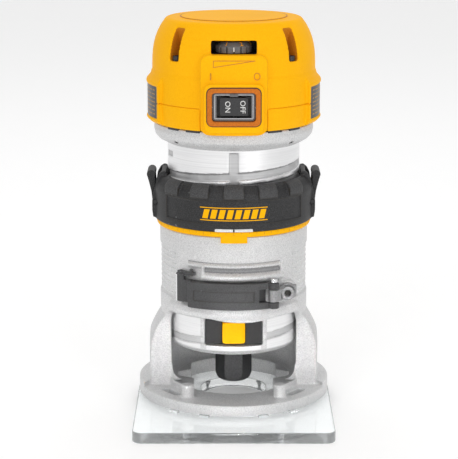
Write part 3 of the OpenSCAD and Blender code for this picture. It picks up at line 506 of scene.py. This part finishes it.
upper_cap = rounded("upper_cap", YELLOW, voxel=0.5, smooth=4, keep=0.6)
rounded("lower_cap", YELLOW, voxel=0.5, smooth=3, keep=0.6)
casting = rounded("base_casting", CAST, voxel=0.42, smooth=4, keep=0.5)
rounded("depth_ring", BLACK, voxel=0.4, smooth=4, keep=0.6)
housing = rounded("motor_housing", TURNED_AND_HIGHLIGHT, voxel=0.45, smooth=2, snap=(BARREL,))
lever = rounded("clamp_lever", LEVER, voxel=0.3, smooth=2)
rounded("release_tab_left", BLACK, voxel=0.3, smooth=3)
rounded("release_tab_right", BLACK, voxel=0.3, smooth=3)
rounded("collet_nut", OXIDE, voxel=0.25, smooth=3)
dial = rounded("speed_dial", GREY_PLASTIC, voxel=0.16, smooth=2)
rounded("hinge_strap", STRAP, voxel=0.25, smooth=3)
catch = rounded("catch_plate", LEVER, voxel=0.25, smooth=3)
rounded("cord_gland", RUBBER, voxel=0.3, smooth=3)
rounded("lock_button", YELLOW, voxel=0.25, smooth=4)
rounded("switch_bezel", COPPER_PLASTIC, voxel=0.25, smooth=2)


# ---------------------------------------------------------------- second materials on the shells

# Where a face lies, in millimetres and degrees; theta is 0 at the front and grows towards +X.
At = namedtuple("At", "r theta z x y")


def middle(poly):
    """Where the middle of a face lies."""
    x, y, z = (c / MM for c in poly.center)
    return At(math.hypot(x, y), math.degrees(math.atan2(x, -y)), z, x, y)


def zone(r=(-1, 99), theta=(-181, 181), z=(-1, 999)):
    """A test that is true between two radii, two angles and two heights."""
    def inside(at):
        return r[0] < at.r < r[1] and theta[0] < at.theta < theta[1] and z[0] < at.z < z[1]
    return inside


def repaint(obj, material, chosen):
    """Gives one more material to the faces whose place passes the test."""
    index = len(obj.data.materials)
    obj.data.materials.append(material)
    for poly in obj.data.polygons:
        if chosen(middle(poly)):
            poly.material_index = index


# The heights and radii that part the turned barrel from what is left as cast.
FLANGE_Z = 141.4
NOSE_Z = 35.2
BORE_R = 33.0
LOCK_FRAME_X = (14.2, 17.2)
LOCK_FRAME_Z = (36.2, 60.2)
LOCK_FRAME_R = 34.6
GROOVE_R = (32.9, 34.15)
GROOVE_Z = (36.5, 141)


def as_cast(at):
    """The flange, the nose, the bore and the frame on both sides of the spindle lock."""
    beside_lock = at.y < 0 and LOCK_FRAME_X[0] < abs(at.x) < LOCK_FRAME_X[1] and at.r < LOCK_FRAME_R
    in_frame = beside_lock and LOCK_FRAME_Z[0] < at.z < LOCK_FRAME_Z[1]
    return at.z > FLANGE_Z or at.z < NOSE_Z or at.r < BORE_R or in_frame


def groove_floor(at):
    """The floors of the helical grooves, which are duller than the barrel."""
    return not as_cast(at) and GROOVE_R[0] < at.r < GROOVE_R[1] and GROOVE_Z[0] < at.z < GROOVE_Z[1]


repaint(housing, CAST, as_cast)
repaint(housing, GROOVE, groove_floor)

# The air scoops of the dome, sunk below its curved side.
SCOOP_ANGLES = (-46.2, 46.2, 133.8, 226.2)
SCOOP_HALF_W = 3.6
SCOOP_SPREAD = 30
SCOOP_IN_R = 30
SCOOP_DEPTH = 0.7
SCOOP_Z = (186, 203)
DOME_R = 42.3
DOME_BEND, DOME_RISE = 179, 26.3
DOME_DRAW = 7


def dome_radius(z):
    """The outside of the cap at height z."""
    return DOME_R - DOME_DRAW * max(0.0, (z - DOME_BEND) / DOME_RISE) ** 3


def in_scoop(at):
    """The sunk faces of the scoops, which get painted shade, measured from the nearest scoop's middle."""
    off = min(abs((at.theta - side + 180) % 360 - 180) for side in SCOOP_ANGLES)
    sunk = SCOOP_IN_R < at.r < dome_radius(at.z) - SCOOP_DEPTH and SCOOP_Z[0] < at.z < SCOOP_Z[1]
    return sunk and off < SCOOP_SPREAD and abs(at.r * math.sin(math.radians(off))) < SCOOP_HALF_W


# The dial stands on its own axis behind the console, and its rim is grooved below the cone.
DIAL_Y = -29.6
DIAL_RIM_TOP = 194.4
DIAL_GROOVE_R = 9.05


def in_dial_groove(at):
    """The floors of the grooves in the dial's rim, which get painted shade."""
    return at.z < DIAL_RIM_TOP and math.hypot(at.x, at.y - DIAL_Y) < DIAL_GROOVE_R


# Painted light, in this order: painted shade in the scoops, on the floor of the lever's hinge slot
# and in the dial's grooves, a painted highlight on the catch plate's left edge, and painted shade
# in the hollow of the hood over the lever.
# Painted shade: the scoops' sunk faces are painted a darker yellow.
repaint(upper_cap, SCOOP_SHADE, in_scoop)
# Painted shade: the lit floor of the lever's hinge slot is painted black.
repaint(lever, BLACK_FINE_AND_SHADE, zone(r=(-1, 43.6), theta=(14, 24), z=(64.4, 71.6)))
# Painted shade: the floors of the dial's grooves are painted black.
repaint(dial, BLACK_FINE_AND_SHADE, in_dial_groove)
# Painted highlight: the catch plate's left edge is painted as bright bare metal.
repaint(catch, TURNED_AND_HIGHLIGHT, zone(r=(41.3, 99), theta=(-181, -43.1), z=(-1, 76.5)))
# Painted shade in the hollow of the hood over the lever.
repaint(casting, CAST_SHADE, zone(r=(38.9, 40.5), theta=(-22, 36), z=(79.2, 82.0)))


# ---------------------------------------------------------------- nodes that keep an exact shape

# Copies with a small bevel: node, material and the bevel's width in millimetres.
BEVELLED = (
    ("sub_base_screws", STEEL_AND_HIGHLIGHT, 0.15), ("clamp_screw", STRAP, 0.3), ("lever_pin", BRIGHT, 0.25),
    ("scale_ring", YELLOW, 0.2), ("scale_window", WHITE_PLASTIC, 0.1), ("tab_pins", OXIDE, 0.3),
    ("vent_grilles", BLACK_FINE_AND_SHADE, 0.12), ("cap_screws", OXIDE, 0.25), ("label_plates", LABEL, 0.08),
    ("switch_body", GREY_PLASTIC, 0.35), ("switch_rocker", BLACK_FINE_AND_SHADE, 0.4),
    ("dial_frame", BLACK_FINE_AND_SHADE, 0.25), ("lock_housing", RUBBER, 0.3), ("light_lenses", LENS, 0.1),
    ("collet", BRIGHT, 0.15), ("guide_pin_left", BRIGHT, 0.2), ("guide_pin_right", BRIGHT, 0.2),
    ("spindle", BRIGHT, 0.2))

# Inner nodes that show the CAD mesh itself, with these materials.
INNER = (
    ("guide_dowel", BRIGHT), ("ring_retainer", STEEL_AND_HIGHLIGHT), ("tab_springs", OXIDE),
    ("speed_module", BOARD), ("bearing_bridge", BLACK_FINE_AND_SHADE), ("bridge_screws", STEEL_AND_HIGHLIGHT),
    ("stator_core", LAMINATION), ("stator_windings", COPPER), ("brush_holders", BRASS),
    ("carbon_brushes", GRAPHITE), ("brush_springs", STEEL_AND_HIGHLIGHT), ("upper_bearing", BRIGHT),
    ("lower_bearing", BRIGHT), ("bearing_retainer", STEEL_AND_HIGHLIGHT), ("lock_spring", STEEL_AND_HIGHLIGHT),
    ("inner_races", BRIGHT), ("armature_core", LAMINATION), ("armature_windings", COPPER),
    ("commutator", COPPER), ("fan", BLACK_FINE_AND_SHADE))

for node, material, width in BEVELLED:
    piece = bevelled(node, material, width)
    if node == "lock_housing":
        # Its big flat faces shade evenly only without smoothing.
        for poly in piece.data.polygons:
            poly.use_smooth = False

for node, material in INNER:
    for slot in NODES[node].material_slots:
        slot.material = material


# ---------------------------------------------------------------- the clear sub-base

PLATE_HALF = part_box("sub_base")[1].x / MM
PLATE_FRONT = -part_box("sub_base")[0].y / MM
PLATE_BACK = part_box("sub_base")[1].y / MM
PLATE_TOP = 5.65
OPENING = 17.45
CORNER = 5.0

# The rounding of the plate's outer edges and of its opening, and the steps of a quarter round.
EDGE_ROUND = 0.5
OPENING_ROUND = 0.4
ROUND_STEPS = 4

# The countersunk screw holes: their places, then (radius, z) points up the side of each.
SCREW_X = 24.0
SCREW_Y = 33.5
COUNTERSINK = ((4.7, -1.0), (4.7, 0.0), (2.25, 2.45), (2.25, 7.0))
HOLE_SIDES = 40


def plate_reach(theta):
    """How far the plate's outline lies from the spindle axis, theta degrees from the front."""
    a = math.radians(theta)
    x, y = math.sin(a), -math.cos(a)
    if y >= 0:
        return min(PLATE_HALF, PLATE_BACK / max(y, 1e-9))
    reach = min(PLATE_HALF / max(abs(x), 1e-9), PLATE_FRONT / max(-y, 1e-9))
    cx, cy = PLATE_HALF - CORNER, CORNER - PLATE_FRONT
    if abs(x) * reach > cx and y * reach < cy:
        along = abs(x) * cx + y * cy
        gap = cx * cx + cy * cy - along * along
        if gap < CORNER * CORNER:
            reach = along + math.sqrt(CORNER * CORNER - gap)
    return reach


def quarter_round(side, size, top, from_face):
    """One rounded edge of the plate as (side, inset, z) points, from the flat face or towards it."""
    points = []
    for i in range(ROUND_STEPS + 1):
        q = math.radians(90 * i / ROUND_STEPS)
        near, far = size * (1 - math.cos(q)), size * (1 - math.sin(q))
        inset, rise = (far, near) if from_face else (near, far)
        points.append((side, inset, PLATE_TOP - rise if top else rise))
    return points


def plate_mesh():
    """The plate as a ring of sections, closer together round the two front corners."""
    angles = [i * 2.0 for i in range(180)]
    angles += [side * a for side in (1, -1) for a in np.arange(31.0, 37.01, 0.3)]
    angles = sorted(set(round(a % 360, 4) for a in angles))
    section = quarter_round("in", OPENING_ROUND, top=True, from_face=False)
    section += quarter_round("out", EDGE_ROUND, top=True, from_face=True)
    section += quarter_round("out", EDGE_ROUND, top=False, from_face=False)
    section += quarter_round("in", OPENING_ROUND, top=False, from_face=True)
    verts, faces = [], []
    for theta in angles:
        reach = plate_reach(theta)
        for side, inset, z in section:
            verts.append(on_cylinder(OPENING + inset if side == "in" else reach - inset, theta, z))
    n, m = len(angles), len(section)
    for i in range(n):
        j = (i + 1) % n
        for k in range(m):
            after = (k + 1) % m
            faces.append((i * m + k, j * m + k, j * m + after, i * m + after))
    mesh = bpy.data.meshes.new("look_sub_base")
    mesh.from_pydata([tuple(c * MM for c in v) for v in verts], [], faces)
    mesh.validate()
    work = bmesh.new()
    work.from_mesh(mesh)
    bmesh.ops.recalc_face_normals(work, faces=work.faces)
    work.to_mesh(mesh)
    work.free()
    return mesh


def countersinks():
    """The four screw holes as one cutting mesh."""
    cutter = bmesh.new()
    for x in (-SCREW_X, SCREW_X):
        for y in (-SCREW_Y, SCREW_Y):
            rings = []
            for r, z in COUNTERSINK:
                ring = []
                for k in range(HOLE_SIDES):
                    a = 2 * math.pi * k / HOLE_SIDES
                    spot = (x + r * math.cos(a), y + r * math.sin(a), z)
                    ring.append(cutter.verts.new([c * MM for c in spot]))
                rings.append(ring)
            cutter.faces.new(list(reversed(rings[0])))
            cutter.faces.new(rings[-1])
            for low, high in zip(rings, rings[1:]):
                for k in range(HOLE_SIDES):
                    after = (k + 1) % HOLE_SIDES
                    cutter.faces.new((low[k], low[after], high[after], high[k]))
    mesh = bpy.data.meshes.new("countersinks")
    cutter.to_mesh(mesh)
    cutter.free()
    return mesh


def build_plate():
    """The clear plate with its screw holes cut."""
    obj = add_object("look_sub_base", plate_mesh(), ACRYLIC)
    tool = bpy.data.objects.new("countersinks", countersinks())
    bpy.context.scene.collection.objects.link(tool)
    cut = obj.modifiers.new("countersinks", "BOOLEAN")
    cut.operation = "DIFFERENCE"
    cut.solver = "EXACT"
    cut.object = tool
    settle(obj)
    bpy.data.objects.remove(tool)
    even_normals(obj, 30)
    place(obj, "sub_base")


def plate_lugs():
    """Four low lugs on the plate, in front of the foot."""
    lugs = Batch()
    half = 2.9
    for theta in (-36.4, -17.0, 17.0, 36.4):
        lugs.patch(r=(51.0, 53.3), theta=(theta - half, theta + half), z=(PLATE_TOP + 0.01, 6.55), steps=6)
    lugs.build("sub_base_lugs", ACRYLIC, "base", False)


build_plate()
plate_lugs()


# ---------------------------------------------------------------- details of the base

GRIP_R = 37.72
GRIP_ROWS = 9
GRIP_LOW = 64.0
GRIP_ROW_PITCH = 2.65
GRIP_FROM, GRIP_TO = 54.0, 125.5
GRIP_COLUMN_PITCH = 4.1
BUMP_SIZE = 0.62
BUMP_HEIGHT = 0.7


def grip_bumps():
    """Bumps on the two sunk grip panels, every second row shifted by half a pitch."""
    bumps = Batch()
    columns = math.ceil((GRIP_TO - GRIP_FROM) / GRIP_COLUMN_PITCH)
    for side in (-1, 1):
        for row in range(GRIP_ROWS):
            z = GRIP_LOW + row * GRIP_ROW_PITCH
            for column in range(columns):
                theta = GRIP_FROM + column * GRIP_COLUMN_PITCH + (GRIP_COLUMN_PITCH / 2 if row % 2 else 0)
                if theta < GRIP_TO:
                    bumps.dome(GRIP_R, side * theta, z, BUMP_SIZE, BUMP_HEIGHT)
    bumps.build("grip_bumps", CAST, "base")


def ring_graduations():
    """Graduations round the yellow ring, every fourth one longer."""
    count, half = 64, 0.12
    top, low, lowest = 100.45, 99.55, 98.9
    ticks = Batch()
    for i in range(count):
        theta = i * 360 / count
        ticks.patch(r=(40.4, 40.64), theta=(theta - half, theta + half), z=(low if i % 4 else lowest, top))
    ticks.build("ring_graduations", YELLOW_MARK_AND_SHADE, "scale_ring", False)


def window_pointer():
    """The dark pointer in the middle of the scale window."""
    pointer = Batch()
    pointer.patch(r=(41.4, 41.68), theta=(-0.55, 0.55), z=(101.1, 102.5))
    pointer.build("window_pointer", DARK_INK_AND_SHADE, "depth_ring", False)


# ---------------------------------------------------------------- details of the depth ring

BLOCK_R = (41.5, 41.8)
BLOCK_COUNT = 8
BLOCK_FIRST = -22.6
BLOCK_PITCH = 5.75
BLOCK_LEAN = 1.6
BLOCK_Z = (107.9, 112.6)
BLOCK_STEPS = 4
LINE_HALF = 24.2


def front_blocks():
    """Plain slanted blocks between two lines on the ring's front panel."""
    bar = Batch()
    for z in (107.0, 113.5):
        bar.patch(r=BLOCK_R, theta=(-LINE_HALF, LINE_HALF), z=(z - 0.22, z + 0.22), steps=24)
    for k in range(BLOCK_COUNT):
        verts = []
        for i in range(BLOCK_STEPS + 1):
            theta = BLOCK_FIRST + k * BLOCK_PITCH + i * 1.0
            for r in BLOCK_R:
                verts.append(on_cylinder(r, theta, BLOCK_Z[0]))
                verts.append(on_cylinder(r, theta + BLOCK_LEAN, BLOCK_Z[1]))
        last = 4 * BLOCK_STEPS
        quads = [(0, 1, 3, 2), (last, last + 2, last + 3, last + 1)]
        for a in range(0, last, 4):
            quads += [(a, a + 4, a + 5, a + 1), (a + 2, a + 3, a + 7, a + 6), (a, a + 2, a + 6, a + 4),
                      (a + 1, a + 5, a + 7, a + 3)]
        bar.add(verts, quads)
    bar.build("front_blocks", YELLOW, "depth_ring", False)


# The raised grips on the ring's shoulder, and their (r, z) section.
RING_GRIPS = (0, 24.5, 49, 131, 155.5, 180, 204.5, 229, 311, 335.5)
GRIP_SECTION = [(38.2, 118.4), (43.1, 118.4), (43.15, 119.0), (43.0, 121.5), (42.5, 122.8),
                (41.7, 123.8), (40.8, 124.5), (39.6, 125.0), (38.2, 125.0)]
GRIP_HALF = 6.7

# Painted shadow lines beside the grips and round the two sunk panels, dark strips where shade falls in the
# gaps.
PANEL_HALF = 55.2
PANEL_SHADOW_R = (41.9, 42.23)


def ring_grips():
    """The raised grips, drawn in a little at both ends."""
    grips = Batch()
    for theta in RING_GRIPS:
        grips.swept(GRIP_SECTION, theta - GRIP_HALF, theta + GRIP_HALF)
    grips.build("ring_grips", PAD, "depth_ring")


def ring_shadow_lines():
    """Painted shadow strips under and on both sides of each grip, and an outline round each panel."""
    shadow_lines = Batch()
    for theta in RING_GRIPS:
        shadow_lines.patch(r=(42.0, 43.05), theta=(theta - 7.0, theta + 7.0), z=(118.05, 118.45), steps=6)
        for side in (-1, 1):
            at = theta + side * 6.95
            shadow_lines.patch(r=(41.0, 42.75), theta=(at - 0.25, at + 0.25), z=(118.1, 121.6))
    for centre in (0, 180):
        low, high = centre - PANEL_HALF, centre + PANEL_HALF
        for z in (105.05, 116.95):
            shadow_lines.patch(r=PANEL_SHADOW_R, theta=(low, high), z=(z - 0.17, z + 0.17), steps=44)
        for theta in (low, high):
            shadow_lines.patch(r=PANEL_SHADOW_R, theta=(theta - 0.22, theta + 0.22), z=(104.9, 117.1))
    shadow_lines.build("ring_shadow_lines", DARK_INK_AND_SHADE, "depth_ring", False)


# ---------------------------------------------------------------- details of the casting and the lever

FILLET_OUT = 35.6
FILLET_LOW = 13.5
FILLET_IN = 5.7
FILLET_RISE = 9.5
WALL_FROM, WALL_TO = 67.3, 292.7


def chamber_fillet():
    """The fillet between the chamber's wall and the foot."""
    section = [(FILLET_OUT + 0.4, FILLET_LOW - 0.3)]
    for q in range(0, 91, 9):
        a = math.radians(q)
        r = FILLET_OUT - FILLET_IN * (1 - math.sin(a))
        section.append((r, FILLET_LOW + FILLET_RISE * (1 - math.cos(a))))
    section.append((FILLET_OUT + 0.4, FILLET_LOW + FILLET_RISE))
    fillet = Batch()
    fillet.swept(section, WALL_FROM, WALL_TO, 0.3, 60)
    fillet.build("chamber_fillet", CAST, "base")


def hood_crease():
    """The shadow line over the hood of the lever."""
    crease = Batch()
    crease.patch(r=(38.6, 39.25), theta=(-36.6, 37.4), z=(83.6, 84.05), steps=40)
    crease.build("hood_crease", CAST_SHADE, "base", False)


def lever_panel_shadow():
    """A painted shadow line round the lever's sunk panel."""
    skin = (45.1, 45.55)
    left, right = -26.9, 13.2
    panel = Batch()
    for z in (65.15, 70.35):
        panel.patch(r=skin, theta=(left, right), z=(z - 0.15, z + 0.15), steps=30)
    for theta in (left, right):
        panel.patch(r=skin, theta=(theta - 0.2, theta + 0.2), z=(65.0, 70.5))
    panel.build("lever_panel_shadow", DARK_INK_AND_SHADE, "lever", False)


# ---------------------------------------------------------------- details of the caps and the console

CONSOLE_Y = -45.2
CONSOLE_TOP_Y = -43.4
CONSOLE_BEND, CONSOLE_TOP = 173.0, 191.2
CONSOLE_NORMAL = Vector((0, -1, 0.099)).normalized()
MARK_DEPTH = 0.09
MARK_X = 11.5
FRONT = (0, -1, 0)


def cap_disc_line():
    """The shadow line round the raised disc on top of the cap."""
    disc = Batch()
    disc.patch(r=(26.9, 27.7), theta=(-180, 180), z=(205.7, 206.45), steps=120)
    disc.build("cap_disc_line", YELLOW_MARK_AND_SHADE, "motor", False)


def console(x, z):
    """A point on the console's sloping front face."""
    slope = (CONSOLE_TOP_Y - CONSOLE_Y) / (CONSOLE_TOP - CONSOLE_BEND)
    return (x, CONSOLE_Y + max(0.0, z - CONSOLE_BEND) * slope - 0.01, z)


def console_marks():
    """A rising wedge for speed, and I and O over the rocker."""
    marks = Batch()
    wedge = ((-10.2, 185.2), (-10.2, 188.4), (10.6, 188.4))
    for a, b in zip(wedge, wedge[1:] + wedge[:1]):
        marks.bar(console(*a), console(*b), 0.35, CONSOLE_NORMAL, MARK_DEPTH)
    marks.bar(console(-MARK_X, 179.1), console(-MARK_X, 182.4), 0.5, CONSOLE_NORMAL, MARK_DEPTH)
    steps, half_w, half_h = 24, 1.45, 1.7
    oval = []
    for k in range(steps + 1):
        a = 2 * math.pi * k / steps
        oval.append(console(MARK_X + half_w * math.cos(a), 180.8 + half_h * math.sin(a)))
    for a, b in zip(oval, oval[1:]):
        marks.bar(a, b, 0.38, CONSOLE_NORMAL, MARK_DEPTH)
    marks.build("console_marks", YELLOW_MARK_AND_SHADE, "motor", False)


def dial_figures():
    """The figures 1 to 6 on the dial's cone, and its white mark."""
    first, pitch, size = -27, 54, 3.3
    on_cone = Matrix.Translation((0, -8.2, 195.85)) @ Matrix.Rotation(math.radians(45), 4, "X")
    for k in range(6):
        turn = Matrix.Rotation(math.radians(first + k * pitch), 4, "Z")
        spot = Matrix.Translation((0, DIAL_Y, 0)) @ turn @ on_cone
        lettering(f"dial_figure_{k + 1}", str(k + 1), size, spot, AMBER_INK, "dial", 0.08)
    tick = Batch()
    tick.bar((0, -38.85, 192.3), (0, -38.85, 194.5), 0.5, FRONT, 0.12)
    tick.build("dial_mark", WHITE_INK, "dial", False)


def rocker_words():
    """ON and OFF on the rocker, read from the side."""
    stand = Matrix.Rotation(math.radians(90), 4, "X")
    spin = Matrix.Rotation(math.radians(-90), 4, "Z")
    face_y, middle_z, size = -46.42, 165.9, 3.7
    for text, x in (("ON", -3.2), ("OFF", 4.3)):
        spot = Matrix.Translation((x, face_y, middle_z)) @ stand @ spin
        lettering("rocker_" + text.lower(), text, size, spot, WHITE_INK, "rocker", 0.03)


def outline_bars(name, points, width, depth, material):
    """Bars round a closed outline that faces the front."""
    bars = Batch()
    for a, b in zip(points, points[1:] + points[:1]):
        bars.bar(a, b, width, FRONT, depth)
    bars.build(name, material, "motor", False)


def switch_trim():
    """Painted shadow in the gap round the bezel, a painted highlight along the boot's rim, and its small
    latch.
    """
    half_w, low, high, corner_r, steps = 10.6, 159.0, 172.6, 2.85, 6
    gap = []
    for cx, cz, start in ((half_w, low, -90), (half_w, high, 0), (-half_w, high, 90), (-half_w, low, 180)):
        for i in range(steps + 1):
            a = math.radians(start + 90 / steps * i)
            gap.append((cx + corner_r * math.cos(a), -47.16, cz + corner_r * math.sin(a)))
    outline_bars("bezel_shadow_line", gap, 0.5, 0.08, DARK_INK_AND_SHADE)
    rim = [(x, -45.55, z) for x, z in ((-9.5, 159.9), (9.5, 159.9), (9.5, 171.8), (-9.5, 171.8))]
    outline_bars("boot_rim_highlight", rim, 0.4, 0.2, STEEL_AND_HIGHLIGHT)
    latch = Batch()
    latch.bar((-2.0, -45.4, 171.6), (2.0, -45.4, 171.6), 1.5, FRONT, 0.7)
    latch.build("boot_latch", GREY_PLASTIC, "motor", False)


def screw_socket_shade():
    """Painted shade: a dark hexagon in the end of the clamp screw, in place of its shaded socket."""
    x, z, r = 27.8, 67.5, 1.85
    verts = []
    for y in (-33.42, -33.6):
        for k in range(6):
            a = math.radians(60 * k)
            verts.append((x + r * math.cos(a), y, z + r * math.sin(a)))
    faces = [tuple(range(6)), (11, 10, 9, 8, 7, 6)]
    faces += [(k, k + 6, (k + 1) % 6 + 6, (k + 1) % 6) for k in range(6)]
    socket = Batch()
    socket.add(verts, faces)
    socket.build("screw_socket_shade", DARK_INK_AND_SHADE, "base", False)


def label_bars():
    """Short plain bars on the side plates, in place of any wording."""
    lengths = (3.0, 5.0, 2.2, 6.5, 4.0, 5.5)
    first, last, ragged, gap = 64.0, 112, 9, 1.6
    top, pitch, half_h = 170.3, 2.05, 0.28
    bars = Batch()
    for side in (1, -1):
        for row in range(7):
            z = top - row * pitch
            start = first
            k = row
            while start < last - (row % 3) * ragged:
                run = lengths[k % len(lengths)]
                bars.patch(r=(44.8, 44.88), theta=(side * start, side * (start + run)),
                           z=(z - half_h, z + half_h), steps=2)
                start += run + gap
                k += 1
    bars.build("label_bars", LABEL_INK, "motor", False)


def rim_air_slots():
    """Painted shade: dark strips in the air slots between the cap's rim and the flange."""
    air = Batch()
    half = 5.5
    for theta in (-48, 48, 132, 228, -30, 30):
        air.patch(r=(40.4, 41.75), theta=(theta - half, theta + half), z=(151.2, 152.25), steps=4)
    air.build("rim_air_slots", BLACK_FINE_AND_SHADE, "motor", False)


for detail in (grip_bumps, ring_graduations, window_pointer, front_blocks, ring_grips, ring_shadow_lines,
               chamber_fillet, hood_crease, lever_panel_shadow, cap_disc_line, console_marks, dial_figures,
               rocker_words, switch_trim, screw_socket_shade, label_bars, rim_air_slots):
    detail()


# ---------------------------------------------------------------- studio

# The room's light from the sides, from in front and behind, what overhead adds, and the backdrop.
SIDE_LEVEL = 0.42
END_LEVEL = 0.8
OVERHEAD = 0.25
BACKDROP = 0.97

# The floor's own glow, and how much it gains where it is seen through clear plastic.
FLOOR_GLOW = 0.15
FLOOR_GAIN = 0.3
FLOOR_REACH = 6.0
FLOOR_DROP = 0.0003

FOCAL_MM = 136.56
CAMERA_PLACE = (-0.00244, -0.900, 0.3009)
CAMERA_TILT = 76.99


def studio_sky():
    """A pale room that is darker at the sides than in front and behind, and lighter overhead."""
    world = bpy.data.worlds.new("studio")
    bpy.context.scene.world = world
    world.use_nodes = True
    tree = world.node_tree
    sky = tree.nodes["Background"]
    sky.inputs["Color"].default_value = (1, 1, 1, 1)
    coords = tree.nodes.new("ShaderNodeTexCoord")
    split = tree.nodes.new("ShaderNodeSeparateXYZ")
    link(tree, coords.outputs["Generated"], split.inputs["Vector"])
    away = tree.nodes.new("ShaderNodeMath")
    away.operation = "ABSOLUTE"
    link(tree, split.outputs["Y"], away.inputs[0])
    ends = tree.nodes.new("ShaderNodeMapRange")
    ends.interpolation_type = "SMOOTHSTEP"
    ends.inputs["From Min"].default_value = 0.05
    ends.inputs["From Max"].default_value = 0.75
    ends.inputs["To Min"].default_value = SIDE_LEVEL
    ends.inputs["To Max"].default_value = END_LEVEL
    link(tree, away.outputs["Value"], ends.inputs["Value"])
    high = tree.nodes.new("ShaderNodeMapRange")
    high.inputs["From Min"].default_value = 0.3
    high.inputs["From Max"].default_value = 1.0
    high.inputs["To Max"].default_value = OVERHEAD
    link(tree, split.outputs["Z"], high.inputs["Value"])
    total = tree.nodes.new("ShaderNodeMath")
    total.operation = "ADD"
    link(tree, ends.outputs["Result"], total.inputs[0])
    link(tree, high.outputs["Result"], total.inputs[1])
    rays = tree.nodes.new("ShaderNodeLightPath")
    seen = tree.nodes.new("ShaderNodeMix")
    seen.inputs["B"].default_value = BACKDROP
    link(tree, rays.outputs["Is Camera Ray"], seen.inputs["Factor"])
    link(tree, total.outputs["Value"], seen.inputs["A"])
    link(tree, seen.outputs["Result"], sky.inputs["Strength"])


def area(name, place_at, target, size, power):
    """A rectangular lamp that points at target; power is in watts."""
    lamp = bpy.data.lights.new(name, "AREA")
    lamp.shape = "RECTANGLE"
    lamp.size, lamp.size_y = size
    lamp.energy = power
    obj = bpy.data.objects.new(name, lamp)
    bpy.context.scene.collection.objects.link(obj)
    obj.location = place_at
    obj.rotation_euler = (Vector(target) - Vector(place_at)).to_track_quat("-Z", "Y").to_euler()
    return obj


def pale_floor():
    """A floor lit a little from below, and more where it is seen through the clear sub-base."""
    corners = ((-1, -1), (1, -1), (1, 1), (-1, 1))
    mesh = bpy.data.meshes.new("floor")
    mesh.from_pydata([(x * FLOOR_REACH, y * FLOOR_REACH, -FLOOR_DROP) for x, y in corners], [],
                     [(0, 1, 2, 3)])
    material = surface("pale_floor", (0.93, 0.93, 0.93), (0.92, 0.92, 0.92), speck=40,
                       rough=(0.6, 0.7), bump=0.0, cloud=0.0, specular=0.2)
    tree = material.node_tree
    glow = tree.nodes["Principled BSDF"]
    glow.inputs["Emission Color"].default_value = (1, 1, 1, 1)
    paths = tree.nodes.new("ShaderNodeLightPath")
    behind = tree.nodes.new("ShaderNodeMath")
    behind.operation = "MAXIMUM"
    behind.use_clamp = True
    lift = tree.nodes.new("ShaderNodeMath")
    lift.operation = "MULTIPLY_ADD"
    lift.inputs[1].default_value = FLOOR_GAIN
    lift.inputs[2].default_value = FLOOR_GLOW
    link(tree, paths.outputs["Is Transmission Ray"], behind.inputs[0])
    link(tree, paths.outputs["Transparent Depth"], behind.inputs[1])
    link(tree, behind.outputs["Value"], lift.inputs[0])
    link(tree, lift.outputs["Value"], glow.inputs["Emission Strength"])
    return add_object("floor", mesh, material)


def add_camera():
    """The camera in front of the tool and above it, looking a little down."""
    lens = bpy.data.cameras.new("camera")
    lens.lens = FOCAL_MM
    lens.sensor_width = 36
    lens.sensor_fit = "AUTO"
    lens.clip_start = 0.01
    lens.clip_end = 50
    camera = bpy.data.objects.new("camera", lens)
    bpy.context.scene.collection.objects.link(camera)
    camera.location = CAMERA_PLACE
    camera.rotation_euler = Euler((math.radians(CAMERA_TILT), 0, 0))
    bpy.context.scene.camera = camera


studio_sky()
area("key_light", (-0.4, -0.9, 0.7), (0, 0, 0.11), (0.45, 0.45), 1.5)
area("fill_light", (0.5, -0.8, 0.3), (0, 0, 0.05), (0.4, 0.5), 1.1)
area("top_light", (0.0, 0.4, 1.1), (0, 0.1, 0.0), (1.0, 1.0), 2.4)
low_light = area("low_light", (0, -0.55, 0.05), (0, 0.03, 0.035), (0.06, 0.03), 0.008)
low_light.data.spread = math.radians(14)
pale_floor()
add_camera()

view = bpy.context.scene.view_settings
view.view_transform = "Standard"
view.look = "None"
view.exposure = 0.0
